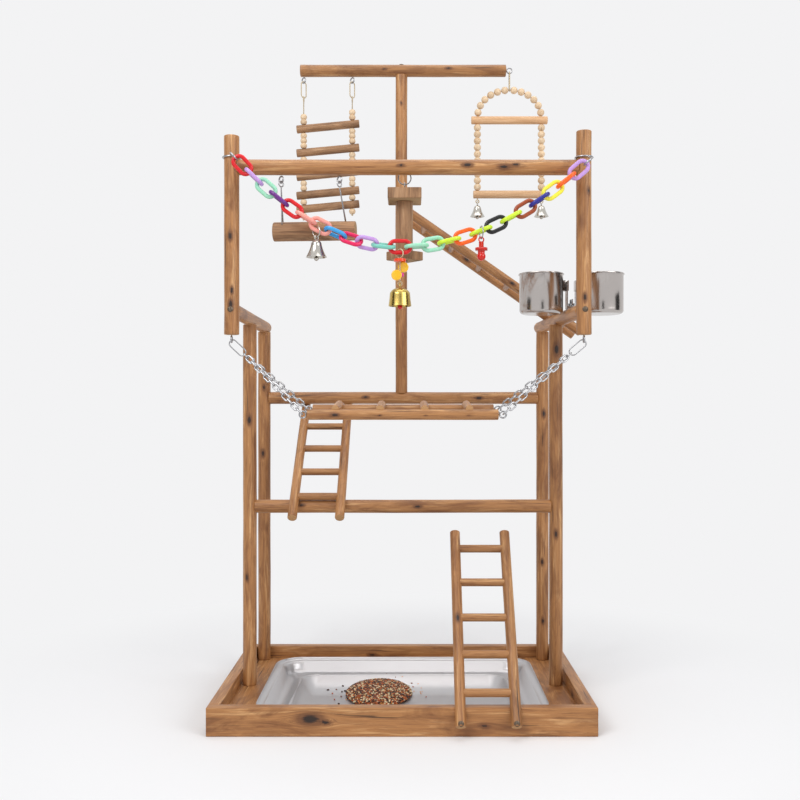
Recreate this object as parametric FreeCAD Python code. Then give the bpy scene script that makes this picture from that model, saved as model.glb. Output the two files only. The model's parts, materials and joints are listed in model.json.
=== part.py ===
"""Parrot play stand: a tray with a steel pan, a frame of round timber, three ladders and hanging toys.

Millimetres. X to the right, Y away from the front, Z up. The origin is the middle of the tray's
underside, which stands on the floor.
"""
import FreeCAD, Part
import math
import os

# Tray
TRAY_LENGTH = 480.0
TRAY_DEPTH = 320.0
WALL_HEIGHT = 35.4
WALL_THICKNESS = 15.0
FLOOR_THICKNESS = 4.0
DECK_TOP = 18.4
PAN_POST_GAP = 13.75
PAN_DEPTH = 264.0
PAN_FLANGE = 8.0
PAN_LIP = 3.0
PAN_SHEET = 1.0
PAN_CORNER = 30.0
PAN_DRAFT = 6.0
PAN_FIT = 1.5
PAN_RIB_INSET = 26.0
PAN_RIB_WIDTH = 6.0
PAN_RIB_HEIGHT = 1.2
HEAP_X, HEAP_Y = -33.0, 0.0
HEAP_LENGTH, HEAP_DEPTH, HEAP_HEIGHT = 92.0, 128.0, 11.0

# Lower frame
POST_DIAMETER = 19.5
POST_WALL_GAP = 3.25
POST_X = TRAY_LENGTH / 2 - WALL_THICKNESS - POST_WALL_GAP - POST_DIAMETER / 2
PAN_LENGTH = 2 * (POST_X - POST_DIAMETER / 2 - PAN_POST_GAP)
FRONT_POST_Y = 0.0
BACK_POST_Y = 135.0
ARM_DIAMETER = 19.0
ARM_Z = 524.0
ARM_BACK_Y = 148.0
ARM_RIGHT_BACK_X = POST_X - 2.5
COPE_DEPTH = 2.5
RAIL_DIAMETER = 19.0
LOWER_RAIL_Z = 265.4
MIDDLE_RAIL_Z = 416.3

# Upper frame
UPPER_POST_Y = -139.0
UPPER_LEFT_X = -POST_X
RIGHT_SPLAY = 14.0
UPPER_RIGHT_X = POST_X + RIGHT_SPLAY
POST_TAIL = 31.0
UPPER_POST_BOTTOM = ARM_Z - POST_TAIL
UPPER_LEFT_TOP = 740.0
UPPER_RIGHT_TOP = 746.0
PERCH_DIAMETER = 19.8
MAIN_PERCH_Z = 701.0
MAST_X = -3.0
MAST_DIAMETER = 18.6
TOP_PERCH_DIAMETER = 18.7
TOP_PERCH_Z = 915.0
TOP_PERCH_LEFT = -157.0
TOP_PERCH_RIGHT = 156.0
EDGE_EASE = 1.2

# Ladders
FRONT_LADDER_X = 105.0
FRONT_LADDER_SPACING = 67.5
FRONT_LADDER_DIAMETER = 14.0
FRONT_LADDER_LENGTH = 267.0
FRONT_LADDER_ANGLE = 54.3
FRONT_LADDER_NOTCH = 7.6
FRONT_LADDER_FOOT = 24.0
FRONT_RUNG_DIAMETER = 11.0
FRONT_RUNG_FIRST = 43.0
FRONT_RUNG_PITCH = 49.5
FRONT_RUNGS = 5
MIDDLE_LADDER_X = -117.0
MIDDLE_LADDER_SPACING = 64.0
MIDDLE_LADDER_DIAMETER = 13.5
MIDDLE_LADDER_FOOT = 38.0
MIDDLE_LADDER_HEAD = 5.0
MIDDLE_RUNG_DIAMETER = 10.5
MIDDLE_RUNG_FIRST = 41.7
MIDDLE_RUNG_PITCH = 49.2
MIDDLE_RUNGS = 4
RAMP_NEAR_Y = 61.0
RAMP_FAR_Y = 125.0
RAMP_DIAMETER = 14.0
RAMP_LENGTH = 306.0
RAMP_ANGLE = 34.9
RAMP_TOP_X = 7.0
RAMP_RUNG_DIAMETER = 11.0
RAMP_RUNG_FIRST = 29.8
RAMP_RUNG_PITCH = 50.0
RAMP_RUNGS = 6
SEAT_DEPTH = 1.0
RAMP_SEAT_DEPTH = 1.5
LADDER_SCREW_LIFT = 4.0
RUNG_SOCKET = 3.0

# Fittings
EYE_RADIUS = 4.0
EYE_WIRE = 2.0
EYE_SHANK = 9.0
EYE_NECK = 1.5
EYE_TWIST = 45.0
RIGHT_ANGLE = 90.0
EYE_PLAY = 1.4
EYE_WELD = 0.5
HOOK_LENGTH = 26.0
HOOK_WIDTH = 11.0
HOOK_WIRE = 1.6
HOOK_RING_RADIUS = 4.2
LINK_PLAY = 0.3
SCREW_HEAD_DIAMETER = 7.0
SCREW_HEAD_HEIGHT = 1.2
SCREW_SHANK_DIAMETER = 3.0
SCREW_DEPTH = 8.0

# Swing bridge
BRIDGE_X = 1.0
BRIDGE_DROP = 96.0
BRIDGE_Z = UPPER_POST_BOTTOM - BRIDGE_DROP
BRIDGE_LENGTH = 231.0
BRIDGE_SPACING = 68.0
BRIDGE_TILT = 6.0
BRIDGE_RAIL_DIAMETER = 13.5
BRIDGE_RUNG_DIAMETER = 11.0
BRIDGE_RUNG_FIRST = 34.0
BRIDGE_RUNG_PITCH = 54.0
BRIDGE_RUNGS = 4
BRIDGE_RUNG_SEAT = 6.0
BRIDGE_RUNG_END = 1.5
CHAIN_LINK_LENGTH = 14.0
CHAIN_LINK_WIDTH = 8.0
CHAIN_LINK_WIRE = 2.0
CHAIN_SPREAD = 33.0

# Bead ladder
BEAD_LADDER_X = -115.0
BEAD_LADDER_SPACING = 74.0
BEAD_LADDER_RUNG = 96.0
BEAD_LADDER_RUNG_DIAMETER = 12.7
BEAD_LADDER_TILT = 5.5
BEAD_LADDER_FIRST_Z = 830.0
LADDER_BEAD_DIAMETER = 10.0
LADDER_BEAD_HEIGHT = 7.6
LADDER_BEAD_COUNTS = (3, 3, 2, 1)
TOP_BEAD_COUNT = 2
LADDER_BEAD_SEAT = 0.35
CORD_DIAMETER = 1.6
BEAD_BORE = 2.4

# Arch swing
ARCH_SPACING = 97.5
ARCH_UPPER_Z = 839.6
ARCH_LOWER_Z = 726.5
ARCH_DOWEL_DIAMETER = 12.5
ARCH_UPPER_LENGTH = 116.0
ARCH_LOWER_LENGTH = 110.0
ARCH_BEAD_DIAMETER = 11.0
ARCH_RISE = 40.0
ARCH_BEADS = 12
COLUMN_BEADS = 10
ARCH_BELL_DIAMETER = 22.5
ARCH_BELL_HEIGHT = 17.0
ARCH_LOOP_DROP = 2.0
ARCH_LOOP_RADIUS = 2.4
ARCH_TOP_GAP = 2.6
ARCH_BEAD_PLAY = 0.9
ARCH_SAMPLES = 2000
ARCH_CLAPPER_DROP = 1.0
ARC_SHARE = 0.45
BEAD_PLAY = 0.15

# Perch swing
SWING_X = -109.0
SWING_SHIFT = 2.0
SWING_HANGER_X = -114.2
SWING_HANGER_SPACING = 72.5
SWING_DOWEL_LENGTH = 105.0
SWING_DOWEL_DIAMETER = 13.0
SWING_DOWEL_SPACING = 17.0
SWING_TILT = 7.5
SWING_Z = 620.0
SWING_WIRE = 1.6
SWING_RUNG_DIAMETER = 9.0
SWING_RUNG_SPACING = 80.0
SWING_RUNG_SEAT = 6.5
SWING_FOOT_SPREAD = 8.0
HANGER_RING = 3.4

# Block toy
TOY_X = 3.0
TOY_RING_RADIUS = 8.0
TOY_BLOCK_TOP = 675.0
TOY_BLOCK_LENGTH = 42.0
TOY_BLOCK_DEPTH = 47.0
TOY_BLOCK_HEIGHT = 13.5
TOY_LOG_DIAMETER = 20.6
TOY_LOG_LENGTH = 63.0
TOY_LOWER_LENGTH = 36.0
TOY_LOWER_DEPTH = 30.0
TOY_LOWER_HEIGHT = 11.0
TOY_LOWER_TURN = 40.0
TOY_WASHER_DIAMETER = 7.0
TOY_WASHER_THICKNESS = 2.0

# Plastic chain
CHAIN_Y = -164.5
CHAIN_LOW_X = -2.5
CHAIN_LOW_Z = 598.0
CHAIN_SAG = 99.0
CHAIN_LEFT_SPAN = 191.5
CHAIN_RIGHT_SPAN = 223.5
LINK_LENGTH = 30.5
LINK_WIDTH = 19.0
LINK_WIRE = 5.0
LINKS_LEFT = 11
LINKS_RIGHT = 12
TOY_RING_WIRE = 1.6
BELL_RING_PLAY = 1.25
CHARM_RING_PLAY = 0.9
CENTRE_RING_PLAY = 0.8
CHARM_RING_RADIUS = 7.5
BELL_RING_RADIUS = 6.5
BELL_RING_TURN = 45.0
CHAIN_TURN = 90.0
TURNED_LINKS = 5
CHARM_RING_TURN = 78.0
TIE_WIRE = 2.0
TIE_TAIL = 1.7
TIE_RING_RADIUS = 6.0
TIE_PLAY = 0.1

# Chain toys
BELL_LINK = -5
BELL_SHIFT = -2.0
CHARM_LINK = 5
CHAIN_BELL_DIAMETER = 26.0
CHAIN_BELL_HEIGHT = 21.0
BRASS_BELL_DIAMETER = 28.0
BRASS_BELL_HEIGHT = 21.5
BELL_SHEET = 0.9
BELL_WAIST_SHARE = 0.5
BELL_WAIST_DEPTH = 0.72
BELL_SHOULDER_DEPTH = 0.28
BELL_CROWN_SHARE = 0.75
BELL_CROWN_DEPTH = 0.09
CLAPPER_BALL = 6.0
CLAPPER_STEM = 1.4
RED_CHARM_HEIGHT = 22.5
RED_CHARM_FLANGE = 15.0
RED_NECK_LENGTH = 7.0
RED_NECK_DIAMETER = 6.0
RED_FLANGE_THICKNESS = 3.0
RED_BULB_DIAMETER = 10.5
RED_STEM_DIAMETER = 8.5
CHARM_LOOP = 3.0
CENTRE_LOOP_RADIUS = 5.5
ORANGE_DISC_DIAMETER = 15.0
ORANGE_DISC_THICKNESS = 3.0
YELLOW_CHARM_DIAMETER = 13.0
YELLOW_CHARM_THICKNESS = 5.0
YELLOW_CHARM_SHIFT = 4.0
YELLOW_CHARM_LAYER = 3.5
YELLOW_CHARM_DROP = 10.5
MAGENTA_BIT_DIAMETER = 5.2
MAGENTA_BIT_X, MAGENTA_BIT_Y = 2.4, 2.8
CROWN_LOOP = 2.6
LOOP_WELD = 0.4
FLARE = 0.5
DOME = 0.88
CHAIN_CLAPPER_DROP = 1.5
BRASS_CLAPPER_DROP = 1.0

# Cups
CUP_Y = -69.0
CUP_DIAMETER = 57.0
CUP_LIFT = 1.0
CUP_BOTTOM = ARM_Z + CUP_LIFT
CUP_FOOT = 5.0
CUP_WELD = 1.0
CUP_HEIGHT = 52.0
CUP_SHEET = 0.8
CUP_RIM = 2.6
CUP_GAP = 1.6
BRACKET_WIDTH = 14.0
BRACKET_SHEET = 1.5
BRACKET_HEIGHT = 34.0
BRACKET_HALF = 7.0
BOLT_DIAMETER = 4.0
NUT_DIAMETER = 8.0
NUT_HEIGHT = 4.0
WING_SPAN = 18.0
WING_SHEET = 1.6
WING_FOOT = 1.5
WING_TOP = 9.0
HOOK_SHEET = 1.0
HOOK_OVERLAP = 12.0
HOOK_FIT = 0.3
HOOK_SIDE_PLAY = 1.0

TOUCH = 0.3


def vec(x, y, z):
    return FreeCAD.Vector(x, y, z)


X_AXIS, Y_AXIS, Z_AXIS = vec(1, 0, 0), vec(0, 1, 0), vec(0, 0, 1)
NODES = {}
PIVOTS = {}


def keep(name, *shapes):
    """Store the solids of one node."""
    solids = [solid for shape in shapes for solid in shape.Solids]
    NODES[name] = solids[0] if len(solids) == 1 else Part.makeCompound(solids)
    return NODES[name]


def box(x0, x1, y0, y1, z0, z1):
    return Part.makeBox(x1 - x0, y1 - y0, z1 - z0, vec(x0, y0, z0))


def rod(start, end, diameter):
    run = end - start
    return Part.makeCylinder(diameter / 2, run.Length, start, run)


def timber(start, end, diameter, ease_start=True, ease_end=True, ease=EDGE_EASE):
    """A round stick whose free ends have eased edges."""
    stick = rod(start, end, diameter)
    rims = []
    for edge in stick.Edges:
        if not isinstance(edge.Curve, Part.Circle):
            continue
        centre = edge.Curve.Center
        if (ease_start and (centre - start).Length < 0.01) or (ease_end and (centre - end).Length < 0.01):
            rims.append(edge)
    return stick.makeFillet(ease, rims) if rims else stick


def torus(centre, normal, radius, wire):
    return Part.makeTorus(radius, wire / 2, centre, normal)


def turned(angle):
    """A level unit vector, turned from Y towards X by an angle in degrees."""
    return vec(math.sin(math.radians(angle)), math.cos(math.radians(angle)), 0)


def swept(path, wire):
    """A round wire along a path of straight runs and arcs."""
    first = path[0]
    start = first.valueAt(first.FirstParameter)
    heading = first.tangentAt(first.FirstParameter)
    profile = Part.Wire(Part.makeCircle(wire / 2, start, heading))
    return Part.Wire(path).makePipeShell([profile], True, False)


def link(centre, along, normal, length, width, wire):
    """One closed oval link, long way along one direction and flat across the other."""
    across = normal.cross(along).normalize()
    radius = (width - wire) / 2
    half = (length - width) / 2
    corner_a = centre + along * half + across * radius
    corner_b = centre - along * half + across * radius
    corner_c = centre - along * half - across * radius
    corner_d = centre + along * half - across * radius
    low = centre - along * (half + radius)
    high = centre + along * (half + radius)
    path = [
        Part.LineSegment(corner_a, corner_b).toShape(),
        Part.Arc(corner_b, low, corner_c).toShape(),
        Part.LineSegment(corner_c, corner_d).toShape(),
        Part.Arc(corner_d, high, corner_a).toShape(),
    ]
    return swept(path, wire)


def bent(points, radii, wire):
    """A wire through points, with a tangent arc of the given radius at each inner point."""
    path = []
    last = points[0]
    for before, corner, after, radius in zip(points, points[1:], points[2:], radii):
        come = (corner - before).normalize()
        go = (after - corner).normalize()
        turn = come.getAngle(go)
        if turn < 1e-4:
            continue
        tangent = radius * math.tan(turn / 2)
        inward = (go - come).normalize()
        enter = corner - come * tangent
        leave = corner + go * tangent
        middle = corner + inward * (radius / math.cos(turn / 2) - radius)
        path.append(Part.LineSegment(last, enter).toShape())
        path.append(Part.Arc(enter, middle, leave).toShape())
        last = leave
    path.append(Part.LineSegment(last, points[-1]).toShape())
    return swept(path, wire)


def screw(head_centre, direction, depth=SCREW_DEPTH):
    """A round-headed screw driven along a direction; the head's seat is at head_centre."""
    head = Part.makeCylinder(SCREW_HEAD_DIAMETER / 2, SCREW_HEAD_HEIGHT, head_centre, direction * -1)
    shank = Part.makeCylinder(SCREW_SHANK_DIAMETER / 2, depth, head_centre, direction)
    return head.fuse(shank)


def seated_screw(surface, direction):
    """A screw whose head is sunk so that its seat lies just under the round surface."""
    return screw(surface + direction * SCREW_HEAD_HEIGHT, direction)


def eye(seat, down, twist=EYE_TWIST, radius=EYE_RADIUS):
    """A screw eye below a timber's surface point: threaded shank, neck and ring."""
    centre = seat + down * (EYE_NECK + radius)
    if abs(down.z) > 0.5:
        normal = turned(twist)
    else:
        normal = Y_AXIS if abs(down.x) > 0.5 else X_AXIS
    ring = torus(centre, normal, radius, EYE_WIRE)
    shank = rod(seat - down * EYE_SHANK, seat + down * (EYE_NECK + EYE_WELD), EYE_WIRE)
    return ring.fuse(shank)


def eye_pivot(seat, down, radius=EYE_RADIUS):
    """The middle of the wire at the far side of the eye's ring."""
    return seat + down * (EYE_NECK + 2 * radius)


def snap_hook(pivot, along=-Z_AXIS, normal=None):
    """A closed snap hook that hangs on an eye along a direction, with a small ring at its foot."""
    normal = normal or turned(-EYE_TWIST)
    top_wire = pivot - along * (EYE_WIRE / 2 + HOOK_WIRE / 2 + LINK_PLAY)
    centre = top_wire + along * (HOOK_LENGTH - HOOK_WIRE) / 2
    body = link(centre, along, normal, HOOK_LENGTH, HOOK_WIDTH, HOOK_WIRE)
    ring_top = top_wire + along * (HOOK_LENGTH - 2 * HOOK_WIRE - LINK_PLAY)
    ring_middle = ring_top + along * HOOK_RING_RADIUS
    return body, torus(ring_middle, along.cross(Y_AXIS), HOOK_RING_RADIUS, HOOK_WIRE), ring_middle


def link_row(start, end, normal, start_wire):
    """Small steel links between two wires; the last link lies across the first."""
    run = end - start
    along = vec(run.x, run.y, run.z).normalize()
    reach = run.Length + start_wire / 2 + EYE_WIRE / 2 + EYE_PLAY
    pitch = CHAIN_LINK_LENGTH - 2 * CHAIN_LINK_WIRE - LINK_PLAY
    count = 2 * math.ceil(reach / pitch / 2)
    step = reach / count
    length = step + 2 * CHAIN_LINK_WIRE + LINK_PLAY
    flat = (normal - along * normal.dot(along)).normalize()
    side = along.cross(flat)
    rows = []
    for index in range(count):
        centre = start + along * (step * (index + 0.5) - start_wire / 2)
        facing = flat if index % 2 == 0 else side
        rows.append(link(centre, along, facing, length, CHAIN_LINK_WIDTH, CHAIN_LINK_WIRE))
    return rows


def bead(centre, along, diameter, height):
    """A wooden bead: a ball with flat ends and a bore, turned about its own axis."""
    radius, half, bore = diameter / 2, height / 2, BEAD_BORE / 2
    flat = math.sqrt(radius ** 2 - half ** 2)
    low_in, low_out = vec(bore, 0, -half), vec(flat, 0, -half)
    high_in, high_out = vec(bore, 0, half), vec(flat, 0, half)
    edges = [
        Part.LineSegment(low_in, low_out).toShape(),
        Part.Arc(low_out, vec(radius, 0, 0), high_out).toShape(),
        Part.LineSegment(high_out, high_in).toShape(),
        Part.LineSegment(high_in, low_in).toShape(),
    ]
    turned_bead = Part.Face(Part.Wire(edges)).revolve(vec(0, 0, 0), Z_AXIS, 360)
    turned_bead.Placement = FreeCAD.Placement(centre, FreeCAD.Rotation(Z_AXIS, along))
    return turned_bead


def bell_shell(top, diameter, height, flare):
    """A thin bell of revolution below its crown point; flare is the shoulder's share of the mouth."""
    mouth = diameter / 2
    shoulder = mouth * flare
    waist = shoulder + (mouth - shoulder) * BELL_WAIST_SHARE

    def outline(inset):
        crown = top - Z_AXIS * inset
        side = top + X_AXIS * (shoulder - inset) - Z_AXIS * (height * BELL_SHOULDER_DEPTH)
        lip = top + X_AXIS * (mouth - inset) - Z_AXIS * height
        cap_x, cap_z = (shoulder - inset) * BELL_CROWN_SHARE, inset + height * BELL_CROWN_DEPTH
        cap = top + X_AXIS * cap_x - Z_AXIS * cap_z
        body = top + X_AXIS * (waist - inset) - Z_AXIS * (height * BELL_WAIST_DEPTH)
        return Part.Arc(crown, cap, side), Part.Arc(side, body, lip), crown, lip

    outer_cap, outer_body, crown, lip = outline(0)
    inner_cap, inner_body, inner_crown, inner_lip = outline(BELL_SHEET)
    edges = [
        outer_cap.toShape(),
        outer_body.toShape(),
        Part.LineSegment(lip, inner_lip).toShape(),
        inner_body.toShape(),
        inner_cap.toShape(),
        Part.LineSegment(inner_crown, crown).toShape(),
    ]
    profile = Part.Face(Part.Wire(Part.__sortEdges__(edges)))
    return profile.revolve(top, Z_AXIS, 360)


def bell(pivot, wire, diameter, height, flare, loop_radius, loop_normal):
    """A bell on a crown loop that hangs on a wire of a given thickness; returns it and its crown."""
    loop_wire = TOY_RING_WIRE
    loop_top = pivot + Z_AXIS * (wire / 2 + loop_wire / 2 + LINK_PLAY)
    loop_centre = loop_top - Z_AXIS * loop_radius
    crown = loop_centre - Z_AXIS * (loop_radius + LOOP_WELD)
    loop = torus(loop_centre, loop_normal, loop_radius, loop_wire)
    shell = bell_shell(crown, diameter, height, flare)
    return shell.fuse(loop), crown


def clapper(crown, height, drop):
    """A clapper that hangs from the inside of a bell's crown."""
    top = crown - Z_AXIS * (BELL_SHEET + TOUCH)
    ball_centre = crown - Z_AXIS * (height + drop)
    stem = rod(top, ball_centre, CLAPPER_STEM)
    return stem.fuse(Part.makeSphere(CLAPPER_BALL / 2, ball_centre))


def slope(angle):
    return math.cos(math.radians(angle)), math.sin(math.radians(angle))


def rung_between(first, second, diameter, rail_diameter):
    """A rung whose ends are let into the inner sides of two rails."""
    run = second - first
    across = vec(run.x, run.y, run.z).normalize()
    inset = rail_diameter / 2 - RUNG_SOCKET
    return rod(first + across * inset, second - across * inset, diameter)


def ladder(foot, along, across, length, spacing, diameter, rung_diameter, first, pitch, count):
    """Two round rails and their rungs. foot is the middle between the rails' lower ends."""
    rails = []
    for side in (-0.5, 0.5):
        start = foot + across * (spacing * side)
        rails.append(timber(start, start + along * length, diameter))
    rungs = []
    for index in range(count):
        middle = foot + along * (first + pitch * index)
        one = middle - across * (spacing / 2)
        two = middle + across * (spacing / 2)
        rungs.append(rung_between(one, two, rung_diameter, diameter))
    rails = [cut_all(rail, rungs) for rail in rails]
    return rails, rungs


def cut_all(shape, cutters):
    for cutter in cutters:
        if shape.BoundBox.intersect(cutter.BoundBox):
            shape = shape.cut(cutter)
    return shape


# ---- Tray ----
HALF_LENGTH = TRAY_LENGTH / 2
HALF_DEPTH = TRAY_DEPTH / 2
INNER_X = HALF_LENGTH - WALL_THICKNESS
INNER_Y = HALF_DEPTH - WALL_THICKNESS
WELL_X = PAN_LENGTH / 2 - PAN_FLANGE
WELL_Y = PAN_DEPTH / 2 - PAN_FLANGE


def rounded_slab(half_x, half_y, corner, z0, z1):
    slab = box(-half_x, half_x, -half_y, half_y, z0, z1)
    uprights = [edge for edge in slab.Edges if abs(edge.tangentAt(edge.FirstParameter).z) > 0.9]
    return slab.makeFillet(corner, uprights)


def tapered_slab(half_x, half_y, corner, z0, z1, draft):
    """A rounded slab that is narrower at the bottom by the draft on each side."""
    sections = []
    for level, inset in ((z0, draft), (z1, 0.0)):
        outline = rounded_slab(half_x - inset, half_y - inset, corner - inset, level, level + 1.0)
        bottom = min(outline.Faces, key=lambda face: face.CenterOfMass.z)
        sections.append(bottom.OuterWire)
    return Part.makeLoft(sections, True, True)


def make_tray():
    wall = (0, WALL_HEIGHT)
    keep("tray_front_board", box(-HALF_LENGTH, HALF_LENGTH, -HALF_DEPTH, -INNER_Y, *wall))
    keep("tray_back_board", box(-HALF_LENGTH, HALF_LENGTH, INNER_Y, HALF_DEPTH, *wall))
    keep("tray_left_board", box(-HALF_LENGTH, -INNER_X, -INNER_Y, INNER_Y, *wall))
    keep("tray_right_board", box(INNER_X, HALF_LENGTH, -INNER_Y, INNER_Y, *wall))
    keep("tray_floor", box(-INNER_X, INNER_X, -INNER_Y, INNER_Y, 0, FLOOR_THICKNESS))
    deck = (FLOOR_THICKNESS, DECK_TOP)
    keep(
        "deck_boards",
        box(-INNER_X, -WELL_X, -INNER_Y, INNER_Y, *deck),
        box(WELL_X, INNER_X, -INNER_Y, INNER_Y, *deck),
        box(-WELL_X, WELL_X, -INNER_Y, -WELL_Y, *deck),
        box(-WELL_X, WELL_X, WELL_Y, INNER_Y, *deck),
    )


def make_pan():
    top = DECK_TOP + PAN_SHEET
    bottom = FLOOR_THICKNESS + TOUCH
    body_x, body_y = WELL_X - PAN_FIT, WELL_Y - PAN_FIT
    flange = rounded_slab(PAN_LENGTH / 2, PAN_DEPTH / 2, PAN_CORNER + PAN_FLANGE, DECK_TOP, top)
    lip = rounded_slab(PAN_LENGTH / 2, PAN_DEPTH / 2, PAN_CORNER + PAN_FLANGE, top, top + PAN_LIP)
    lip_inner = rounded_slab(
        PAN_LENGTH / 2 - PAN_SHEET, PAN_DEPTH / 2 - PAN_SHEET, PAN_CORNER + PAN_FLANGE - PAN_SHEET,
        top, top + PAN_LIP,
    )
    outside = tapered_slab(body_x, body_y, PAN_CORNER, bottom, top, PAN_DRAFT)
    inside = tapered_slab(
        body_x - PAN_SHEET, body_y - PAN_SHEET, PAN_CORNER - PAN_SHEET,
        bottom + PAN_SHEET, top + PAN_SHEET, PAN_DRAFT,
    )
    floor = bottom + PAN_SHEET
    rib_x, rib_y = body_x - PAN_RIB_INSET, body_y - PAN_RIB_INSET
    rib = rounded_slab(rib_x, rib_y, PAN_CORNER, floor, floor + PAN_RIB_HEIGHT)
    rib = rib.cut(rounded_slab(
        rib_x - PAN_RIB_WIDTH, rib_y - PAN_RIB_WIDTH, PAN_CORNER - PAN_RIB_WIDTH,
        floor, floor + PAN_RIB_HEIGHT,
    ))
    pan = flange.fuse(outside).cut(inside).fuse(lip.cut(lip_inner)).fuse(rib)
    keep("seed_pan", pan)
    mound = Part.makeSphere(1.0)
    matrix = FreeCAD.Matrix()
    matrix.scale(HEAP_LENGTH / 2, HEAP_DEPTH / 2, HEAP_HEIGHT)
    mound = mound.transformGeometry(matrix)
    mound.translate(vec(HEAP_X, HEAP_Y, floor))
    upper = box(
        HEAP_X - HEAP_LENGTH, HEAP_X + HEAP_LENGTH, HEAP_Y - HEAP_DEPTH, HEAP_Y + HEAP_DEPTH,
        floor, floor + 2 * HEAP_HEIGHT,
    )
    keep("seed_heap", mound.common(upper).cut(rib))


# ---- Frame ----
def arm_x(y):
    """The right arm's middle at a depth: it splays towards the front."""
    share = (ARM_BACK_Y - y) / (ARM_BACK_Y - UPPER_POST_Y)
    return ARM_RIGHT_BACK_X + (UPPER_RIGHT_X - ARM_RIGHT_BACK_X) * share


def post_line(x, y, z0, z1):
    return vec(x, y, z0), vec(x, y, z1)


def make_frame():
    arm_front = UPPER_POST_Y + POST_DIAMETER / 2 - COPE_DEPTH
    arms = {
        "left": (vec(-POST_X, ARM_BACK_Y, ARM_Z), vec(UPPER_LEFT_X, arm_front, ARM_Z)),
        "right": (vec(arm_x(ARM_BACK_Y), ARM_BACK_Y, ARM_Z), vec(arm_x(arm_front), arm_front, ARM_Z)),
    }
    uppers = {
        "left": timber(*post_line(UPPER_LEFT_X, UPPER_POST_Y, UPPER_POST_BOTTOM, UPPER_LEFT_TOP),
                       POST_DIAMETER),
        "right": timber(*post_line(UPPER_RIGHT_X, UPPER_POST_Y, UPPER_POST_BOTTOM, UPPER_RIGHT_TOP),
                        POST_DIAMETER),
    }
    post_top = ARM_Z - ARM_DIAMETER / 2 + COPE_DEPTH
    wood = {}
    for side, sign in (("left", -1), ("right", 1)):
        arm = timber(*arms[side], ARM_DIAMETER, ease_end=False)
        for row, y in (("front", FRONT_POST_Y), ("back", BACK_POST_Y)):
            post = rod(*post_line(sign * POST_X, y, DECK_TOP, post_top), POST_DIAMETER)
            wood[f"{row}_post_{side}"] = post.cut(rod(*arms[side], ARM_DIAMETER))
        wood[f"arm_{side}"] = arm.cut(uppers[side])
        wood[f"upper_post_{side}"] = uppers[side]
    inner_left = UPPER_LEFT_X + POST_DIAMETER / 2 - COPE_DEPTH
    inner_right = UPPER_RIGHT_X - POST_DIAMETER / 2 + COPE_DEPTH
    perch = rod(vec(inner_left, UPPER_POST_Y, MAIN_PERCH_Z), vec(inner_right, UPPER_POST_Y, MAIN_PERCH_Z),
                PERCH_DIAMETER)
    wood["main_perch"] = cut_all(perch, list(uppers.values()))
    reach = POST_X - POST_DIAMETER / 2 + COPE_DEPTH
    for name, y, z, row in (
        ("middle_rail", BACK_POST_Y, MIDDLE_RAIL_Z, "back"),
        ("lower_rail", FRONT_POST_Y, LOWER_RAIL_Z, "front"),
    ):
        rail = rod(vec(-reach, y, z), vec(reach, y, z), RAIL_DIAMETER)
        wood[name] = cut_all(rail, [wood[f"{row}_post_left"], wood[f"{row}_post_right"]])
    wood["top_perch"] = timber(
        vec(TOP_PERCH_LEFT, BACK_POST_Y, TOP_PERCH_Z), vec(TOP_PERCH_RIGHT, BACK_POST_Y, TOP_PERCH_Z),
        TOP_PERCH_DIAMETER,
    )
    mast_bottom = MIDDLE_RAIL_Z + RAIL_DIAMETER / 2 - COPE_DEPTH
    mast_top = TOP_PERCH_Z - TOP_PERCH_DIAMETER / 2 + COPE_DEPTH
    mast = rod(*post_line(MAST_X, BACK_POST_Y, mast_bottom, mast_top), MAST_DIAMETER)
    wood["mast"] = cut_all(mast, [wood["middle_rail"], wood["top_perch"]])
    return wood


# ---- Ladders ----
def make_front_ladder():
    """Leans out over the front board's top outer edge, notched onto it."""
    run, rise = slope(FRONT_LADDER_ANGLE)
    along = vec(0, run, rise)
    corner = vec(FRONT_LADDER_X, -HALF_DEPTH, WALL_HEIGHT)
    outward = vec(0, -rise, run)
    axis_point = corner + outward * (FRONT_LADDER_DIAMETER / 2 - FRONT_LADDER_NOTCH)
    foot = axis_point - along * FRONT_LADDER_FOOT
    rails, rungs = ladder(
        foot, along, X_AXIS, FRONT_LADDER_LENGTH, FRONT_LADDER_SPACING, FRONT_LADDER_DIAMETER,
        FRONT_RUNG_DIAMETER, FRONT_RUNG_FIRST, FRONT_RUNG_PITCH, FRONT_RUNGS,
    )
    board = NODES["tray_front_board"]
    rails = [rail.cut(board) for rail in rails]
    screws = []
    for side in (-0.5, 0.5):
        centre = axis_point + X_AXIS * (FRONT_LADDER_SPACING * side)
        middle = vec(centre.x, centre.y, WALL_HEIGHT / 2 + LADDER_SCREW_LIFT)
        back = (middle.z - axis_point.z) / rise
        surface = vec(centre.x, axis_point.y + run * back - FRONT_LADDER_DIAMETER / 2 / rise, middle.z)
        screws.append(seated_screw(surface, Y_AXIS))
    return rails, rungs, screws


def middle_ladder_line():
    """Over the lower rail and under the middle rail: where it starts and how it runs, in Y and Z."""
    gap = (RAIL_DIAMETER + MIDDLE_LADDER_DIAMETER) / 2 - SEAT_DEPTH
    dy, dz = BACK_POST_Y - FRONT_POST_Y, MIDDLE_RAIL_Z - LOWER_RAIL_Z
    distance = math.hypot(dy, dz)
    lean = math.asin(2 * gap / distance)
    angle = math.atan2(dz, dy) - lean
    along = vec(0, math.cos(angle), math.sin(angle))
    above = vec(0, -math.sin(angle), math.cos(angle))
    contact = vec(MIDDLE_LADDER_X, FRONT_POST_Y, LOWER_RAIL_Z) + above * gap
    return contact, along, distance * math.cos(lean)


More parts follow.
